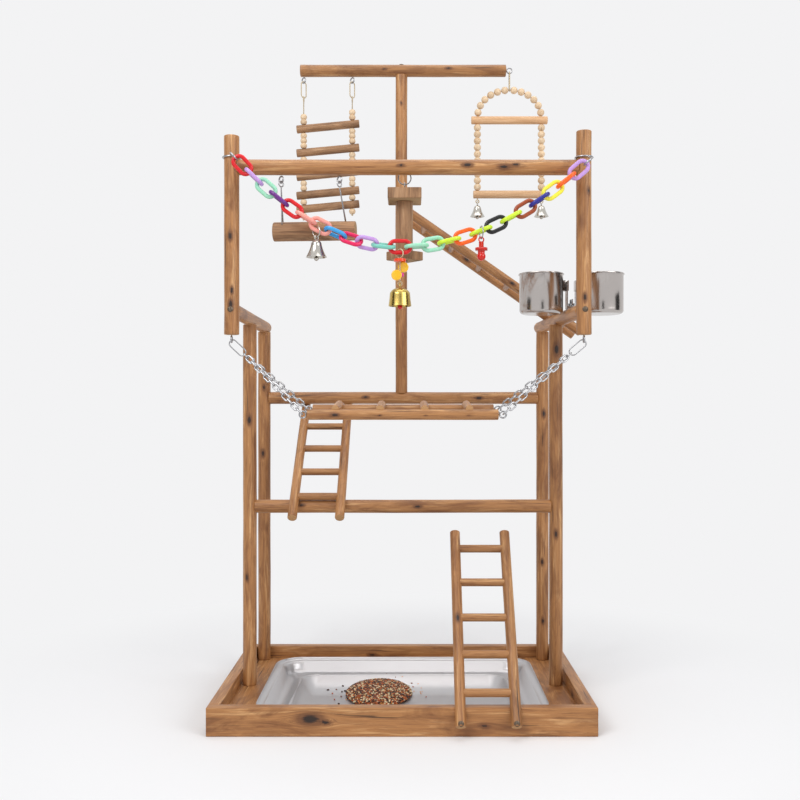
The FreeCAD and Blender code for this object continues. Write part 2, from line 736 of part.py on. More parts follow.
def make_middle_ladder():
    contact, along, reach = middle_ladder_line()
    foot = contact - along * MIDDLE_LADDER_FOOT
    rails, rungs = ladder(
        foot, along, X_AXIS, MIDDLE_LADDER_FOOT + reach + MIDDLE_LADDER_HEAD, MIDDLE_LADDER_SPACING,
        MIDDLE_LADDER_DIAMETER, MIDDLE_RUNG_DIAMETER, MIDDLE_RUNG_FIRST, MIDDLE_RUNG_PITCH, MIDDLE_RUNGS,
    )
    return rails, rungs


def make_ramp_ladder():
    """From the mast down to the right over the right arm, where both rails are seated."""
    run, fall = slope(RAMP_ANGLE)
    along = vec(run, 0, -fall)
    above = vec(fall, 0, run)
    arm_point = vec(arm_x((RAMP_NEAR_Y + RAMP_FAR_Y) / 2), 0, ARM_Z)
    gap = (ARM_DIAMETER + RAMP_DIAMETER) / 2 - RAMP_SEAT_DEPTH
    contact = arm_point + above * gap
    back = (contact.x - RAMP_TOP_X) / run
    top = contact - along * back
    top.y = (RAMP_NEAR_Y + RAMP_FAR_Y) / 2
    return ladder(
        top, along, Y_AXIS, RAMP_LENGTH, RAMP_FAR_Y - RAMP_NEAR_Y, RAMP_DIAMETER,
        RAMP_RUNG_DIAMETER, RAMP_RUNG_FIRST, RAMP_RUNG_PITCH, RAMP_RUNGS,
    )


# ---- Cups ----
def make_cups(wood):
    middle_x = arm_x(CUP_Y)
    offset = ARM_DIAMETER / 2 + CUP_GAP + CUP_DIAMETER / 2
    arm_top = ARM_Z + ARM_DIAMETER / 2
    y0, y1 = CUP_Y - BRACKET_WIDTH / 2, CUP_Y + BRACKET_WIDTH / 2
    tab_top = arm_top + BRACKET_HEIGHT
    saddle_low, saddle_top = arm_top - BRACKET_SHEET, arm_top + BRACKET_SHEET
    bracket = box(middle_x - BRACKET_HALF, middle_x + BRACKET_HALF, y0, y1, saddle_low, saddle_top)
    for sign in (-1, 1):
        inner, outer = BRACKET_HALF - BRACKET_SHEET, BRACKET_HALF
        x0, x1 = sorted((middle_x + sign * inner, middle_x + sign * outer))
        bracket = bracket.fuse(box(x0, x1, y0, y1, saddle_low, tab_top))
    bracket = bracket.cut(wood["arm_right"])
    bolt_top = vec(middle_x, CUP_Y, saddle_top + WING_TOP)
    bolt = rod(vec(middle_x, CUP_Y, arm_top - SCREW_DEPTH), bolt_top, BOLT_DIAMETER)
    nut_foot = vec(middle_x, CUP_Y, saddle_top)
    nut = rod(nut_foot, nut_foot + Z_AXIS * NUT_HEIGHT, NUT_DIAMETER)
    wings = box(
        middle_x - WING_SHEET / 2, middle_x + WING_SHEET / 2, CUP_Y - WING_SPAN / 2, CUP_Y + WING_SPAN / 2,
        saddle_top + WING_FOOT, bolt_top.z,
    )
    fastener = bolt.fuse(nut).fuse(wings)
    wood["arm_right"] = wood["arm_right"].cut(bolt)
    bracket = bracket.cut(bolt)
    keep("cup_bracket", bracket, fastener)
    for side, sign in (("left", -1), ("right", 1)):
        centre_x = middle_x + sign * offset
        base = vec(centre_x, CUP_Y, CUP_BOTTOM)
        outside = Part.makeCylinder(CUP_DIAMETER / 2, CUP_HEIGHT, base)
        foot = [edge for edge in outside.Edges if isinstance(edge.Curve, Part.Circle)
                and abs(edge.Curve.Center.z - CUP_BOTTOM) < 0.01]
        outside = outside.makeFillet(CUP_FOOT, foot)
        inside = Part.makeCylinder(CUP_DIAMETER / 2 - CUP_SHEET, CUP_HEIGHT, base + Z_AXIS * CUP_SHEET)
        foot = [edge for edge in inside.Edges if isinstance(edge.Curve, Part.Circle)
                and abs(edge.Curve.Center.z - CUP_BOTTOM - CUP_SHEET) < 0.01]
        inside = inside.makeFillet(CUP_FOOT - CUP_SHEET, foot)
        rim_z = CUP_BOTTOM + CUP_HEIGHT
        rim = torus(vec(centre_x, CUP_Y, rim_z), Z_AXIS, CUP_DIAMETER / 2, CUP_RIM)
        outer_tab = BRACKET_HALF + HOOK_FIT
        wall = offset - CUP_DIAMETER / 2 + CUP_WELD
        half = BRACKET_WIDTH / 2 - HOOK_SIDE_PLAY
        z_hook = tab_top + HOOK_FIT
        inner_tab = BRACKET_HALF - BRACKET_SHEET - HOOK_FIT
        spans = [
            (outer_tab, wall, tab_top - HOOK_OVERLAP, z_hook),
            (inner_tab - HOOK_SHEET, wall, z_hook, z_hook + HOOK_SHEET),
            (inner_tab - HOOK_SHEET, inner_tab, tab_top - HOOK_OVERLAP, z_hook + HOOK_SHEET),
        ]
        shell = outside.fuse(rim)
        for near, far, z0, z1 in spans:
            x0, x1 = sorted((middle_x + sign * near, middle_x + sign * far))
            shell = shell.fuse(box(x0, x1, CUP_Y - half, CUP_Y + half, z0, z1))
        keep(f"cup_{side}", shell.cut(inside))


# ---- Swing bridge ----
def make_bridge(wood, eyes):
    rails, rungs, hardware = [], [], []
    half = BRIDGE_LENGTH / 2
    ends = {}
    for row, sign in (("front", -1), ("back", 1)):
        y = UPPER_POST_Y + sign * BRIDGE_SPACING / 2
        z = BRIDGE_Z + sign * BRIDGE_TILT / 2
        start, end = vec(BRIDGE_X - half, y, z), vec(BRIDGE_X + half, y, z)
        rail = timber(start, end, BRIDGE_RAIL_DIAMETER)
        for seat, outward, side in ((start, X_AXIS * -1, "left"), (end, X_AXIS, "right")):
            ring = eye(seat, outward)
            rail = rail.cut(ring)
            hardware.append(ring)
            ends[side, row] = seat + outward * (EYE_NECK + EYE_RADIUS)
        rails.append(rail)
    across = vec(0, BRIDGE_SPACING, BRIDGE_TILT).normalize()
    lift = (BRIDGE_RAIL_DIAMETER + BRIDGE_RUNG_DIAMETER) / 2 - BRIDGE_RUNG_SEAT
    above = vec(0, -across.z, across.y)
    reach = math.hypot(BRIDGE_SPACING, BRIDGE_TILT) / 2 + BRIDGE_RUNG_END
    for index in range(BRIDGE_RUNGS):
        x = BRIDGE_X - half + BRIDGE_RUNG_FIRST + BRIDGE_RUNG_PITCH * index
        middle = vec(x, UPPER_POST_Y, BRIDGE_Z) + above * lift
        rungs.append(timber(middle - across * reach, middle + across * reach, BRIDGE_RUNG_DIAMETER))
    rails = [cut_all(rail, rungs) for rail in rails]
    for side, x in (("left", UPPER_LEFT_X), ("right", UPPER_RIGHT_X)):
        seat = vec(x, UPPER_POST_Y, UPPER_POST_BOTTOM)
        fixed = eye(seat, Z_AXIS * -1, RIGHT_ANGLE)
        eyes.append(fixed)
        wood[f"upper_post_{side}"] = wood[f"upper_post_{side}"].cut(fixed)
        pivot = eye_pivot(seat, Z_AXIS * -1)
        PIVOTS["bridge"] = (pivot, X_AXIS)
        pull = (ends[side, "front"] + ends[side, "back"]) * 0.5 - pivot
        pull.normalize()
        hook, ring, ring_middle = snap_hook(pivot, pull, Y_AXIS)
        hardware += [hook, ring]
        for row, sign in (("front", -1), ("back", 1)):
            spread = math.radians(CHAIN_SPREAD) * sign
            start = ring_middle + (pull * math.cos(spread) + Y_AXIS * math.sin(spread)) * HOOK_RING_RADIUS
            hang = Y_AXIS * math.cos(spread) - pull * math.sin(spread)
            middle = ends[side, row]
            back = vec(start.x - middle.x, 0, start.z - middle.z).normalize()
            hardware += link_row(start, middle + back * EYE_RADIUS, hang, HOOK_WIRE)
    keep("bridge_rails", *rails)
    keep("bridge_rungs", *rungs)
    keep("bridge_chains", *hardware)


# ---- Bead ladder ----
def make_bead_ladder(wood, eyes):
    rungs, beads, cords = [], [], []
    tilt = math.radians(BEAD_LADDER_TILT)
    across = vec(math.cos(tilt), 0, math.sin(tilt))
    levels = [BEAD_LADDER_FIRST_Z]
    rung_height = BEAD_LADDER_RUNG_DIAMETER / math.cos(tilt)
    for count in LADDER_BEAD_COUNTS:
        levels.append(levels[-1] - rung_height - count * LADDER_BEAD_HEIGHT - 2 * LADDER_BEAD_SEAT)
    for level in levels:
        middle = vec(BEAD_LADDER_X, BACK_POST_Y, level)
        half = BEAD_LADDER_RUNG / 2
        rungs.append(timber(middle - across * half, middle + across * half, BEAD_LADDER_RUNG_DIAMETER))
    half_rung = rung_height / 2
    for side in (-0.5, 0.5):
        x = BEAD_LADDER_X + BEAD_LADDER_SPACING * side
        shift = BEAD_LADDER_SPACING * side * math.tan(tilt)
        seat = vec(x, BACK_POST_Y, TOP_PERCH_Z - TOP_PERCH_DIAMETER / 2)
        fixed = eye(seat, Z_AXIS * -1)
        eyes.append(fixed)
        wood["top_perch"] = wood["top_perch"].cut(fixed)
        pivot = eye_pivot(seat, Z_AXIS * -1)
        PIVOTS["bead_ladder"] = (pivot, X_AXIS)
        hook, ring, ring_middle = snap_hook(pivot)
        foot = ring_middle - Z_AXIS * HOOK_RING_RADIUS
        first = levels[0] + shift + half_rung
        counts = [(first, TOP_BEAD_COUNT)]
        for level, count in zip(levels[1:], LADDER_BEAD_COUNTS):
            counts.append((level + shift + half_rung, count))
        for low, count in counts:
            for index in range(count):
                z = low + LADDER_BEAD_SEAT + LADDER_BEAD_HEIGHT * (index + 0.5)
                beads.append(bead(vec(x, BACK_POST_Y, z), Z_AXIS, LADDER_BEAD_DIAMETER,
                                  LADDER_BEAD_HEIGHT - BEAD_PLAY))
        bottom = levels[-1] + shift - half_rung
        z = bottom - LADDER_BEAD_SEAT - LADDER_BEAD_HEIGHT / 2
        beads.append(bead(vec(x, BACK_POST_Y, z), Z_AXIS, LADDER_BEAD_DIAMETER, LADDER_BEAD_HEIGHT))
        knot_z = z - LADDER_BEAD_HEIGHT / 2 - CORD_DIAMETER
        cord = rod(vec(x, BACK_POST_Y, knot_z), foot, CORD_DIAMETER)
        knot = Part.makeSphere(CORD_DIAMETER, vec(x, BACK_POST_Y, knot_z))
        bore = rod(vec(x, BACK_POST_Y, knot_z - LADDER_BEAD_HEIGHT), foot, BEAD_BORE)
        rungs = [rung.cut(bore) for rung in rungs]
        cords += [cord.fuse(knot).fuse(ring), hook]
    keep("bead_ladder_rungs", *rungs)
    keep("bead_ladder_beads", *beads)
    keep("bead_ladder_cords", *cords)


# ---- Arch swing ----
def arch_joints(middle_x, base):
    """Joints between the arch's beads: equal steps along half an ellipse, with a gap at its top."""
    half = ARCH_SPACING / 2
    curve = []
    for step in range(ARCH_SAMPLES + 1):
        angle = math.pi * step / ARCH_SAMPLES
        curve.append(vec(middle_x - half * math.cos(angle), BACK_POST_Y, base + ARCH_RISE * math.sin(angle)))
    lengths = [0.0]
    for one, two in zip(curve, curve[1:]):
        lengths.append(lengths[-1] + (two - one).Length)
    step = (lengths[-1] - ARCH_TOP_GAP) / ARCH_BEADS
    half_count = ARCH_BEADS // 2
    targets = [step * number for number in range(half_count + 1)]
    targets += [lengths[-1] - target for target in reversed(targets)]
    joints = []
    for target in targets:
        nearest = min(range(len(curve)), key=lambda index: abs(lengths[index] - target))
        joints.append(curve[nearest])
    return joints


def arch_radii(route):
    """Arcs as large as the two runs beside each corner allow."""
    radii = []
    for before, corner, after in zip(route, route[1:], route[2:]):
        come, go = corner - before, after - corner
        turn = max(come.getAngle(go), 0.01)
        radii.append(ARC_SHARE * min(come.Length, go.Length) / math.tan(turn / 2))
    return radii


def make_arch_swing(wood, eyes):
    seat = vec(TOP_PERCH_RIGHT, BACK_POST_Y, TOP_PERCH_Z)
    fixed = eye(seat, X_AXIS)
    eyes.append(fixed)
    wood["top_perch"] = wood["top_perch"].cut(fixed)
    middle_x = TOP_PERCH_RIGHT + EYE_NECK + EYE_RADIUS
    pivot = vec(middle_x, BACK_POST_Y, TOP_PERCH_Z - EYE_RADIUS)
    PIVOTS["arch_swing"] = (pivot, X_AXIS)
    base = ARCH_UPPER_Z + ARCH_DOWEL_DIAMETER / 2
    joints = arch_joints(middle_x, base)
    beads = []
    for index, (one, two) in enumerate(zip(joints, joints[1:])):
        if index == ARCH_BEADS // 2:
            continue
        along = (two - one).normalize()
        beads.append(bead((one + two) * 0.5, along, ARCH_BEAD_DIAMETER, (two - one).Length - ARCH_BEAD_PLAY))
    pitch = (ARCH_UPPER_Z - ARCH_LOWER_Z - ARCH_DOWEL_DIAMETER) / COLUMN_BEADS
    loop_top = ARCH_LOWER_Z - ARCH_DOWEL_DIAMETER / 2 - ARCH_LOOP_DROP
    bores, loops, bells = [], [], []
    for side, sign in (("left", -1), ("right", 1)):
        x = middle_x + sign * ARCH_SPACING / 2
        for index in range(COLUMN_BEADS):
            z = ARCH_LOWER_Z + ARCH_DOWEL_DIAMETER / 2 + pitch * (index + 0.5)
            beads.append(bead(vec(x, BACK_POST_Y, z), Z_AXIS, ARCH_BEAD_DIAMETER, pitch - BEAD_PLAY))
        bores.append(rod(vec(x, BACK_POST_Y, loop_top), vec(x, BACK_POST_Y, base + 1), BEAD_BORE))
        loop = vec(x, BACK_POST_Y, loop_top - ARCH_LOOP_RADIUS)
        loops.append(torus(loop, Y_AXIS, ARCH_LOOP_RADIUS, HOOK_WIRE))
        hang = loop - Z_AXIS * ARCH_LOOP_RADIUS
        shell, crown = bell(hang, HOOK_WIRE, ARCH_BELL_DIAMETER, ARCH_BELL_HEIGHT, FLARE, CROWN_LOOP, X_AXIS)
        keep(f"arch_bell_{side}", shell)
        keep(f"arch_clapper_{side}", clapper(crown, ARCH_BELL_HEIGHT, ARCH_CLAPPER_DROP))
        PIVOTS[f"arch_bell_{side}"] = (hang, X_AXIS)
        PIVOTS[f"arch_clapper_{side}"] = (crown, X_AXIS)
    dowels = []
    for z, length in ((ARCH_UPPER_Z, ARCH_UPPER_LENGTH), (ARCH_LOWER_Z, ARCH_LOWER_LENGTH)):
        ends = [vec(middle_x + sign * length / 2, BACK_POST_Y, z) for sign in (-1, 1)]
        dowels.append(cut_all(timber(*ends, ARCH_DOWEL_DIAMETER), bores))
    left, right = joints[0], joints[-1]
    route = [vec(left.x, left.y, loop_top), *joints, vec(right.x, right.y, loop_top)]
    cord = bent(route, arch_radii(route), CORD_DIAMETER)
    for loop in loops:
        cord = cord.fuse(loop)
    apex = joints[ARCH_BEADS // 2].z
    link_top = pivot.z + EYE_WIRE / 2 + HOOK_WIRE / 2 + LINK_PLAY
    link_foot = apex - CORD_DIAMETER / 2 - HOOK_WIRE / 2 - LINK_PLAY / 2
    length = link_top - link_foot + HOOK_WIRE
    hanger = link(vec(middle_x, BACK_POST_Y, (link_top + link_foot) / 2), Z_AXIS, X_AXIS,
                  length, HOOK_WIDTH, HOOK_WIRE)
    keep("arch_perches", *dowels)
    keep("arch_beads", *beads)
    keep("arch_cord", cord, hanger)


# ---- Perch swing ----
def make_perch_swing(wood, eyes):
    """Two logs side by side under two short cross pieces, which hang on forked wires."""
    centre = vec(SWING_X, UPPER_POST_Y + SWING_SHIFT, SWING_Z)
    step = vec(0, SWING_DOWEL_SPACING / 2, -SWING_TILT / 2)
    across = vec(0, step.y, step.z).normalize()
    above = vec(0, -across.z, across.y)
    half = X_AXIS * (SWING_DOWEL_LENGTH / 2)
    dowels = []
    for sign in (-1, 1):
        middle = centre + step * sign
        dowels.append(timber(middle - half, middle + half, SWING_DOWEL_DIAMETER))
    lift = (SWING_DOWEL_DIAMETER + SWING_RUNG_DIAMETER) / 2 - SWING_RUNG_SEAT
    reach = step.Length + SWING_DOWEL_DIAMETER / 2
    rungs, hangers = [], []
    for sign in (-1, 1):
        x = SWING_HANGER_X + sign * SWING_HANGER_SPACING / 2
        seat = vec(x, UPPER_POST_Y, MAIN_PERCH_Z - PERCH_DIAMETER / 2)
        fixed = eye(seat, Z_AXIS * -1)
        eyes.append(fixed)
        wood["main_perch"] = wood["main_perch"].cut(fixed)
        pivot = eye_pivot(seat, Z_AXIS * -1)
        PIVOTS["perch_swing"] = (pivot, X_AXIS)
        top = pivot + Z_AXIS * (EYE_WIRE / 2 + SWING_WIRE / 2 + LINK_PLAY)
        ring = torus(top - Z_AXIS * HANGER_RING, turned(-EYE_TWIST), HANGER_RING, SWING_WIRE)
        fork = top - Z_AXIS * 2 * HANGER_RING
        middle = centre + X_AXIS * (sign * SWING_RUNG_SPACING / 2) + above * lift
        rung = timber(middle - across * reach, middle + across * reach, SWING_RUNG_DIAMETER)
        foot = middle + above * (SWING_RUNG_DIAMETER / 2 - RUNG_SOCKET)
        feet = [foot + across * (SWING_FOOT_SPREAD * side) for side in (-1, 1)]
        hanger = ring.fuse(rod(feet[0], fork, SWING_WIRE)).fuse(rod(feet[1], fork, SWING_WIRE))
        hangers.append(hanger)
        dowels = [dowel.cut(rung) for dowel in dowels]
        rungs.append(rung.cut(hanger))
    keep("swing_dowels", *dowels, *rungs)
    keep("swing_hangers", *hangers)


# ---- Block toy ----
def make_block_toy(wood, eyes):
    seat = vec(TOY_X, UPPER_POST_Y + PERCH_DIAMETER / 2, MAIN_PERCH_Z)
    fixed = eye(seat, Y_AXIS)
    eyes.append(fixed)
    wood["main_perch"] = wood["main_perch"].cut(fixed)
    y = seat.y + EYE_NECK + EYE_RADIUS
    pivot = vec(TOY_X, y, MAIN_PERCH_Z - EYE_RADIUS)
    PIVOTS["block_toy"] = (pivot, Y_AXIS)
    ring_top = pivot + Z_AXIS * (EYE_WIRE / 2 + TOY_RING_WIRE / 2 + LINK_PLAY)
    ring = torus(ring_top - Z_AXIS * TOY_RING_RADIUS, Y_AXIS, TOY_RING_RADIUS, TOY_RING_WIRE)
    ring_foot = ring_top - Z_AXIS * 2 * TOY_RING_RADIUS
    loop_top = ring_foot + Z_AXIS * (TOY_RING_WIRE + LINK_PLAY)
    loop = torus(loop_top - Z_AXIS * HANGER_RING, X_AXIS, HANGER_RING, TOY_RING_WIRE)
    top_block = TOY_BLOCK_TOP - TOY_BLOCK_HEIGHT
    log_bottom = top_block - TOY_LOG_LENGTH
    lower_bottom = log_bottom - TOY_LOWER_HEIGHT
    washer_top = lower_bottom - TOUCH
    washer_low = washer_top - TOY_WASHER_THICKNESS
    stem_top = loop_top - Z_AXIS * 2 * HANGER_RING
    stem = rod(vec(TOY_X, y, washer_low), stem_top, CORD_DIAMETER)
    washer = rod(vec(TOY_X, y, washer_low), vec(TOY_X, y, washer_top), TOY_WASHER_DIAMETER)
    keep("toy_hanger", ring, loop.fuse(stem).fuse(washer))
    half_x, half_y = TOY_BLOCK_LENGTH / 2, TOY_BLOCK_DEPTH / 2
    block = box(TOY_X - half_x, TOY_X + half_x, y - half_y, y + half_y, top_block, TOY_BLOCK_TOP)
    log = timber(vec(TOY_X, y, log_bottom), vec(TOY_X, y, top_block), TOY_LOG_DIAMETER)
    half_x, half_y = TOY_LOWER_LENGTH / 2, TOY_LOWER_DEPTH / 2
    lower = box(TOY_X - half_x, TOY_X + half_x, y - half_y, y + half_y, lower_bottom, log_bottom)
    lower.rotate(vec(TOY_X, y, 0), Z_AXIS, TOY_LOWER_TURN)
    bore = rod(vec(TOY_X, y, lower_bottom - 1), vec(TOY_X, y, TOY_BLOCK_TOP + 1), BEAD_BORE)
    keep("toy_blocks", *[eased(piece).cut(bore) for piece in (block, lower)], log.cut(bore))
    PIVOTS["toy_spin"] = (vec(TOY_X, y, TOY_BLOCK_TOP), Z_AXIS)


def eased(block):
    return block.makeFillet(EDGE_EASE, block.Edges)


# ---- Plastic chain ----
def chain_height(x):
    span = CHAIN_LEFT_SPAN if x < CHAIN_LOW_X else CHAIN_RIGHT_SPAN
    return CHAIN_LOW_Z + CHAIN_SAG * ((x - CHAIN_LOW_X) / span) ** 2


def chain_step(x, sign, length):
    """The next joint's X, one chord along the hanging curve."""
    near, far = 0.0, length
    for _ in range(40):
        middle = (near + far) / 2
        reach = math.hypot(middle, chain_height(x + sign * middle) - chain_height(x))
        if reach < length:
            near = middle
        else:
            far = middle
    return x + sign * near


def chain_joints():
    pitch = LINK_LENGTH - 2 * LINK_WIRE - LINK_PLAY
    left, right = [CHAIN_LOW_X - pitch / 2], [CHAIN_LOW_X + pitch / 2]
    for _ in range(LINKS_LEFT):
        left.append(chain_step(left[-1], -1, pitch))
    for _ in range(LINKS_RIGHT):
        right.append(chain_step(right[-1], 1, pitch))
    return [vec(x, CHAIN_Y, chain_height(x)) for x in [*reversed(left), *right]]


def tie(post_x, wire_middle, outward, facing):
    """A wire band round an upper post with the ring that the end link hangs in."""
    inner = LINK_WIRE / 2 + TIE_WIRE / 2 + 2 * LINK_PLAY
    centre = wire_middle + outward * (TIE_RING_RADIUS - inner)
    ring = torus(centre, facing, TIE_RING_RADIUS, TIE_WIRE)
    tip = centre + outward * TIE_RING_RADIUS
    post = vec(post_x, UPPER_POST_Y, MAIN_PERCH_Z + PERCH_DIAMETER / 2 + TIE_WIRE)
    radius = POST_DIAMETER / 2 + TIE_WIRE / 2 + TIE_PLAY
    band = torus(post, Z_AXIS, radius, TIE_WIRE)
    toward = vec(tip.x - post.x, tip.y - post.y, 0).normalize()
    return band.fuse(rod(post + toward * radius, tip, TIE_TAIL)).fuse(ring)


def charm_ring(wire_middle, along, wire, turn, play, radius=CHARM_RING_RADIUS):
    """A split ring that hangs on a link's sloping wire; returns it and its lowest wire's middle."""
    level = math.hypot(along.x, along.y)
    top = wire_middle + Z_AXIS * (LINK_WIRE / 2 / level + wire / 2 + play)
    return torus(top - Z_AXIS * radius, turned(turn), radius, wire), top - Z_AXIS * 2 * radius


def link_roll(index):
    """Each link lies across the last one; on the left the whole chain is turned a quarter round."""
    turned_share = min(max(-index / TURNED_LINKS, 0.0), 1.0)
    return RIGHT_ANGLE * index + CHAIN_TURN * turned_share


def make_chain():
    joints = chain_joints()
    links, lines = [], {}
    for number, (one, two) in enumerate(zip(joints, joints[1:])):
        index = number - LINKS_LEFT
        along = (two - one).normalize()
        upward = along.cross(Y_AXIS)
        roll = math.radians(link_roll(index))
        facing = Y_AXIS * math.cos(roll) + upward * math.sin(roll)
        centre = (one + two) * 0.5
        links.append(link(centre, along, facing, LINK_LENGTH, LINK_WIDTH, LINK_WIRE))
        lines[index] = (centre, along, upward, along.cross(facing))
    keep("chain_links", *links)
    bend = (LINK_LENGTH - LINK_WIRE) / 2
    ties, ends = [], []
    for index, sign, post_x in ((-LINKS_LEFT, -1, UPPER_LEFT_X), (LINKS_RIGHT, 1, UPPER_RIGHT_X)):
        centre, along, _, facing = lines[index]
        outward = along * sign
        ties.append(tie(post_x, centre + outward * bend, outward, facing))
        ends.append(centre + outward * bend)
    keep("chain_ties", *ties)
    PIVOTS["chain"] = (ends[0], (ends[1] - ends[0]).normalize())
    side = (LINK_WIDTH - LINK_WIRE) / 2
    return lines, side


def make_chain_bell(lines, side):
    centre, along, upward, _ = lines[BELL_LINK]
    wire_middle = centre - upward * side + along * BELL_SHIFT
    ring, low = charm_ring(wire_middle, along, TOY_RING_WIRE, BELL_RING_TURN, BELL_RING_PLAY, BELL_RING_RADIUS)
    PIVOTS["chain_bell"] = (wire_middle, along)
    shell, crown = bell(low, TOY_RING_WIRE, CHAIN_BELL_DIAMETER, CHAIN_BELL_HEIGHT, FLARE, CROWN_LOOP,
                        turned(BELL_RING_TURN - RIGHT_ANGLE))
    keep("chain_bell", shell, ring)
    keep("chain_clapper", clapper(crown, CHAIN_BELL_HEIGHT, CHAIN_CLAPPER_DROP))
    PIVOTS["chain_clapper"] = (crown, X_AXIS)


def make_red_charm(lines, side):
    centre, along, _, _ = lines[CHARM_LINK]
    wire_middle = centre - Y_AXIS * side
    ring, low = charm_ring(wire_middle, along, TOY_RING_WIRE, CHARM_RING_TURN, CHARM_RING_PLAY)
    PIVOTS["red_charm"] = (wire_middle, along)
    loop_top = low + Z_AXIS * (TOY_RING_WIRE + LINK_PLAY)
    loop = torus(loop_top - Z_AXIS * CHARM_LOOP, turned(CHARM_RING_TURN - RIGHT_ANGLE), CHARM_LOOP, TOY_RING_WIRE)
    neck_top = loop_top - Z_AXIS * 2 * CHARM_LOOP
    flange_top = neck_top - Z_AXIS * RED_NECK_LENGTH
    flange_low = flange_top - Z_AXIS * RED_FLANGE_THICKNESS
    bulb_length = RED_CHARM_HEIGHT - RED_NECK_LENGTH - RED_FLANGE_THICKNESS
    bulb_middle = flange_low - Z_AXIS * (bulb_length - RED_BULB_DIAMETER / 2)
    charm = loop.fuse(rod(flange_top, neck_top, RED_NECK_DIAMETER))
    charm = charm.fuse(rod(flange_low, flange_top, RED_CHARM_FLANGE))
    charm = charm.fuse(rod(bulb_middle, flange_low, RED_STEM_DIAMETER))
    charm = charm.fuse(Part.makeSphere(RED_BULB_DIAMETER / 2, bulb_middle))
    keep("red_charm", charm)
    keep("red_charm_ring", ring)


def make_centre_charm(lines, side):
    centre, along, upward, _ = lines[0]
    wire_middle = centre - upward * side
    PIVOTS["centre_charm"] = (wire_middle, along)
    loop, low = charm_ring(wire_middle, along, CORD_DIAMETER, BELL_RING_TURN, CENTRE_RING_PLAY,
                           CENTRE_LOOP_RADIUS)
    x, y = wire_middle.x, wire_middle.y
    level = low.z - CORD_DIAMETER / 2 - TOUCH
    cord_top = level + TOUCH + CORD_DIAMETER / 2
    pieces = []
    pieces.append(rod(vec(x, y, level - ORANGE_DISC_THICKNESS), vec(x, y, level), ORANGE_DISC_DIAMETER))
    level -= ORANGE_DISC_THICKNESS
    half = Y_AXIS * (YELLOW_CHARM_THICKNESS / 2)
    for sign, drop in ((1, 0.0), (-1, YELLOW_CHARM_DROP)):
        middle_z = level - YELLOW_CHARM_DIAMETER / 2 - drop
        middle = vec(x + sign * YELLOW_CHARM_SHIFT, y + sign * YELLOW_CHARM_LAYER, middle_z)
        pieces.append(timber(middle - half, middle + half, YELLOW_CHARM_DIAMETER))
    bit_z = level - YELLOW_CHARM_DIAMETER - LINK_PLAY - MAGENTA_BIT_DIAMETER / 2
    pieces.append(Part.makeSphere(MAGENTA_BIT_DIAMETER / 2, vec(x + MAGENTA_BIT_X, y + MAGENTA_BIT_Y, bit_z)))
    level -= YELLOW_CHARM_DIAMETER + YELLOW_CHARM_DROP
    bore = rod(vec(x, y, level - 1), vec(x, y, cord_top), BEAD_BORE)
    keep("charm_pieces", *[piece.cut(bore) for piece in pieces])
    end_loop = vec(x, y, level - CORD_DIAMETER / 2 - ARCH_LOOP_RADIUS)
    cord = rod(end_loop + Z_AXIS * ARCH_LOOP_RADIUS, vec(x, y, cord_top), CORD_DIAMETER)
    cord = cord.fuse(loop).fuse(torus(end_loop, Y_AXIS, ARCH_LOOP_RADIUS, CORD_DIAMETER))
    keep("charm_cord", cord)
    hang = end_loop - Z_AXIS * ARCH_LOOP_RADIUS
    shell, crown = bell(hang, CORD_DIAMETER, BRASS_BELL_DIAMETER, BRASS_BELL_HEIGHT, DOME, CROWN_LOOP, X_AXIS)
    keep("brass_bell", shell)
    keep("brass_clapper", clapper(crown, BRASS_BELL_HEIGHT, BRASS_CLAPPER_DROP))
    PIVOTS["brass_bell"] = (hang, X_AXIS)
    PIVOTS["brass_clapper"] = (crown, X_AXIS)


# ---- Whole stand ----
def make_fasteners(wood):
    """The screw heads that show: arm ends, top of the mast, ladder ends."""
    screws = []
    for side, x in (("left", UPPER_LEFT_X), ("right", UPPER_RIGHT_X)):
        surface = vec(x, UPPER_POST_Y - POST_DIAMETER / 2, ARM_Z)
        fixing = seated_screw(surface, Y_AXIS)
        wood[f"upper_post_{side}"] = wood[f"upper_post_{side}"].cut(fixing)
        screws.append(fixing)
    nail = seated_screw(vec(MAST_X, BACK_POST_Y, TOP_PERCH_Z + TOP_PERCH_DIAMETER / 2), Z_AXIS * -1)
    wood["top_perch"] = wood["top_perch"].cut(nail)
    screws.append(nail)
    return screws


def make_ladders(wood):
    front_rails, front_rungs, screws = make_front_ladder()
    for fixing in screws:
        front_rails = [rail.cut(fixing) for rail in front_rails]
        NODES["tray_front_board"] = NODES["tray_front_board"].cut(fixing)
    keep("front_ladder_rails", *front_rails)
    keep("front_ladder_rungs", *front_rungs)
    middle_rails, middle_rungs = make_middle_ladder()
    seats = [wood["lower_rail"], wood["middle_rail"]]
    keep("middle_ladder_rails", *[cut_all(rail, seats) for rail in middle_rails])
    keep("middle_ladder_rungs", *middle_rungs)
    ramp_rails, ramp_rungs = make_ramp_ladder()
    seats = [wood["arm_right"], wood["mast"]]
    keep("ramp_ladder_rails", *[cut_all(rail, seats) for rail in ramp_rails])
    keep("ramp_ladder_rungs", *ramp_rungs)
    return screws


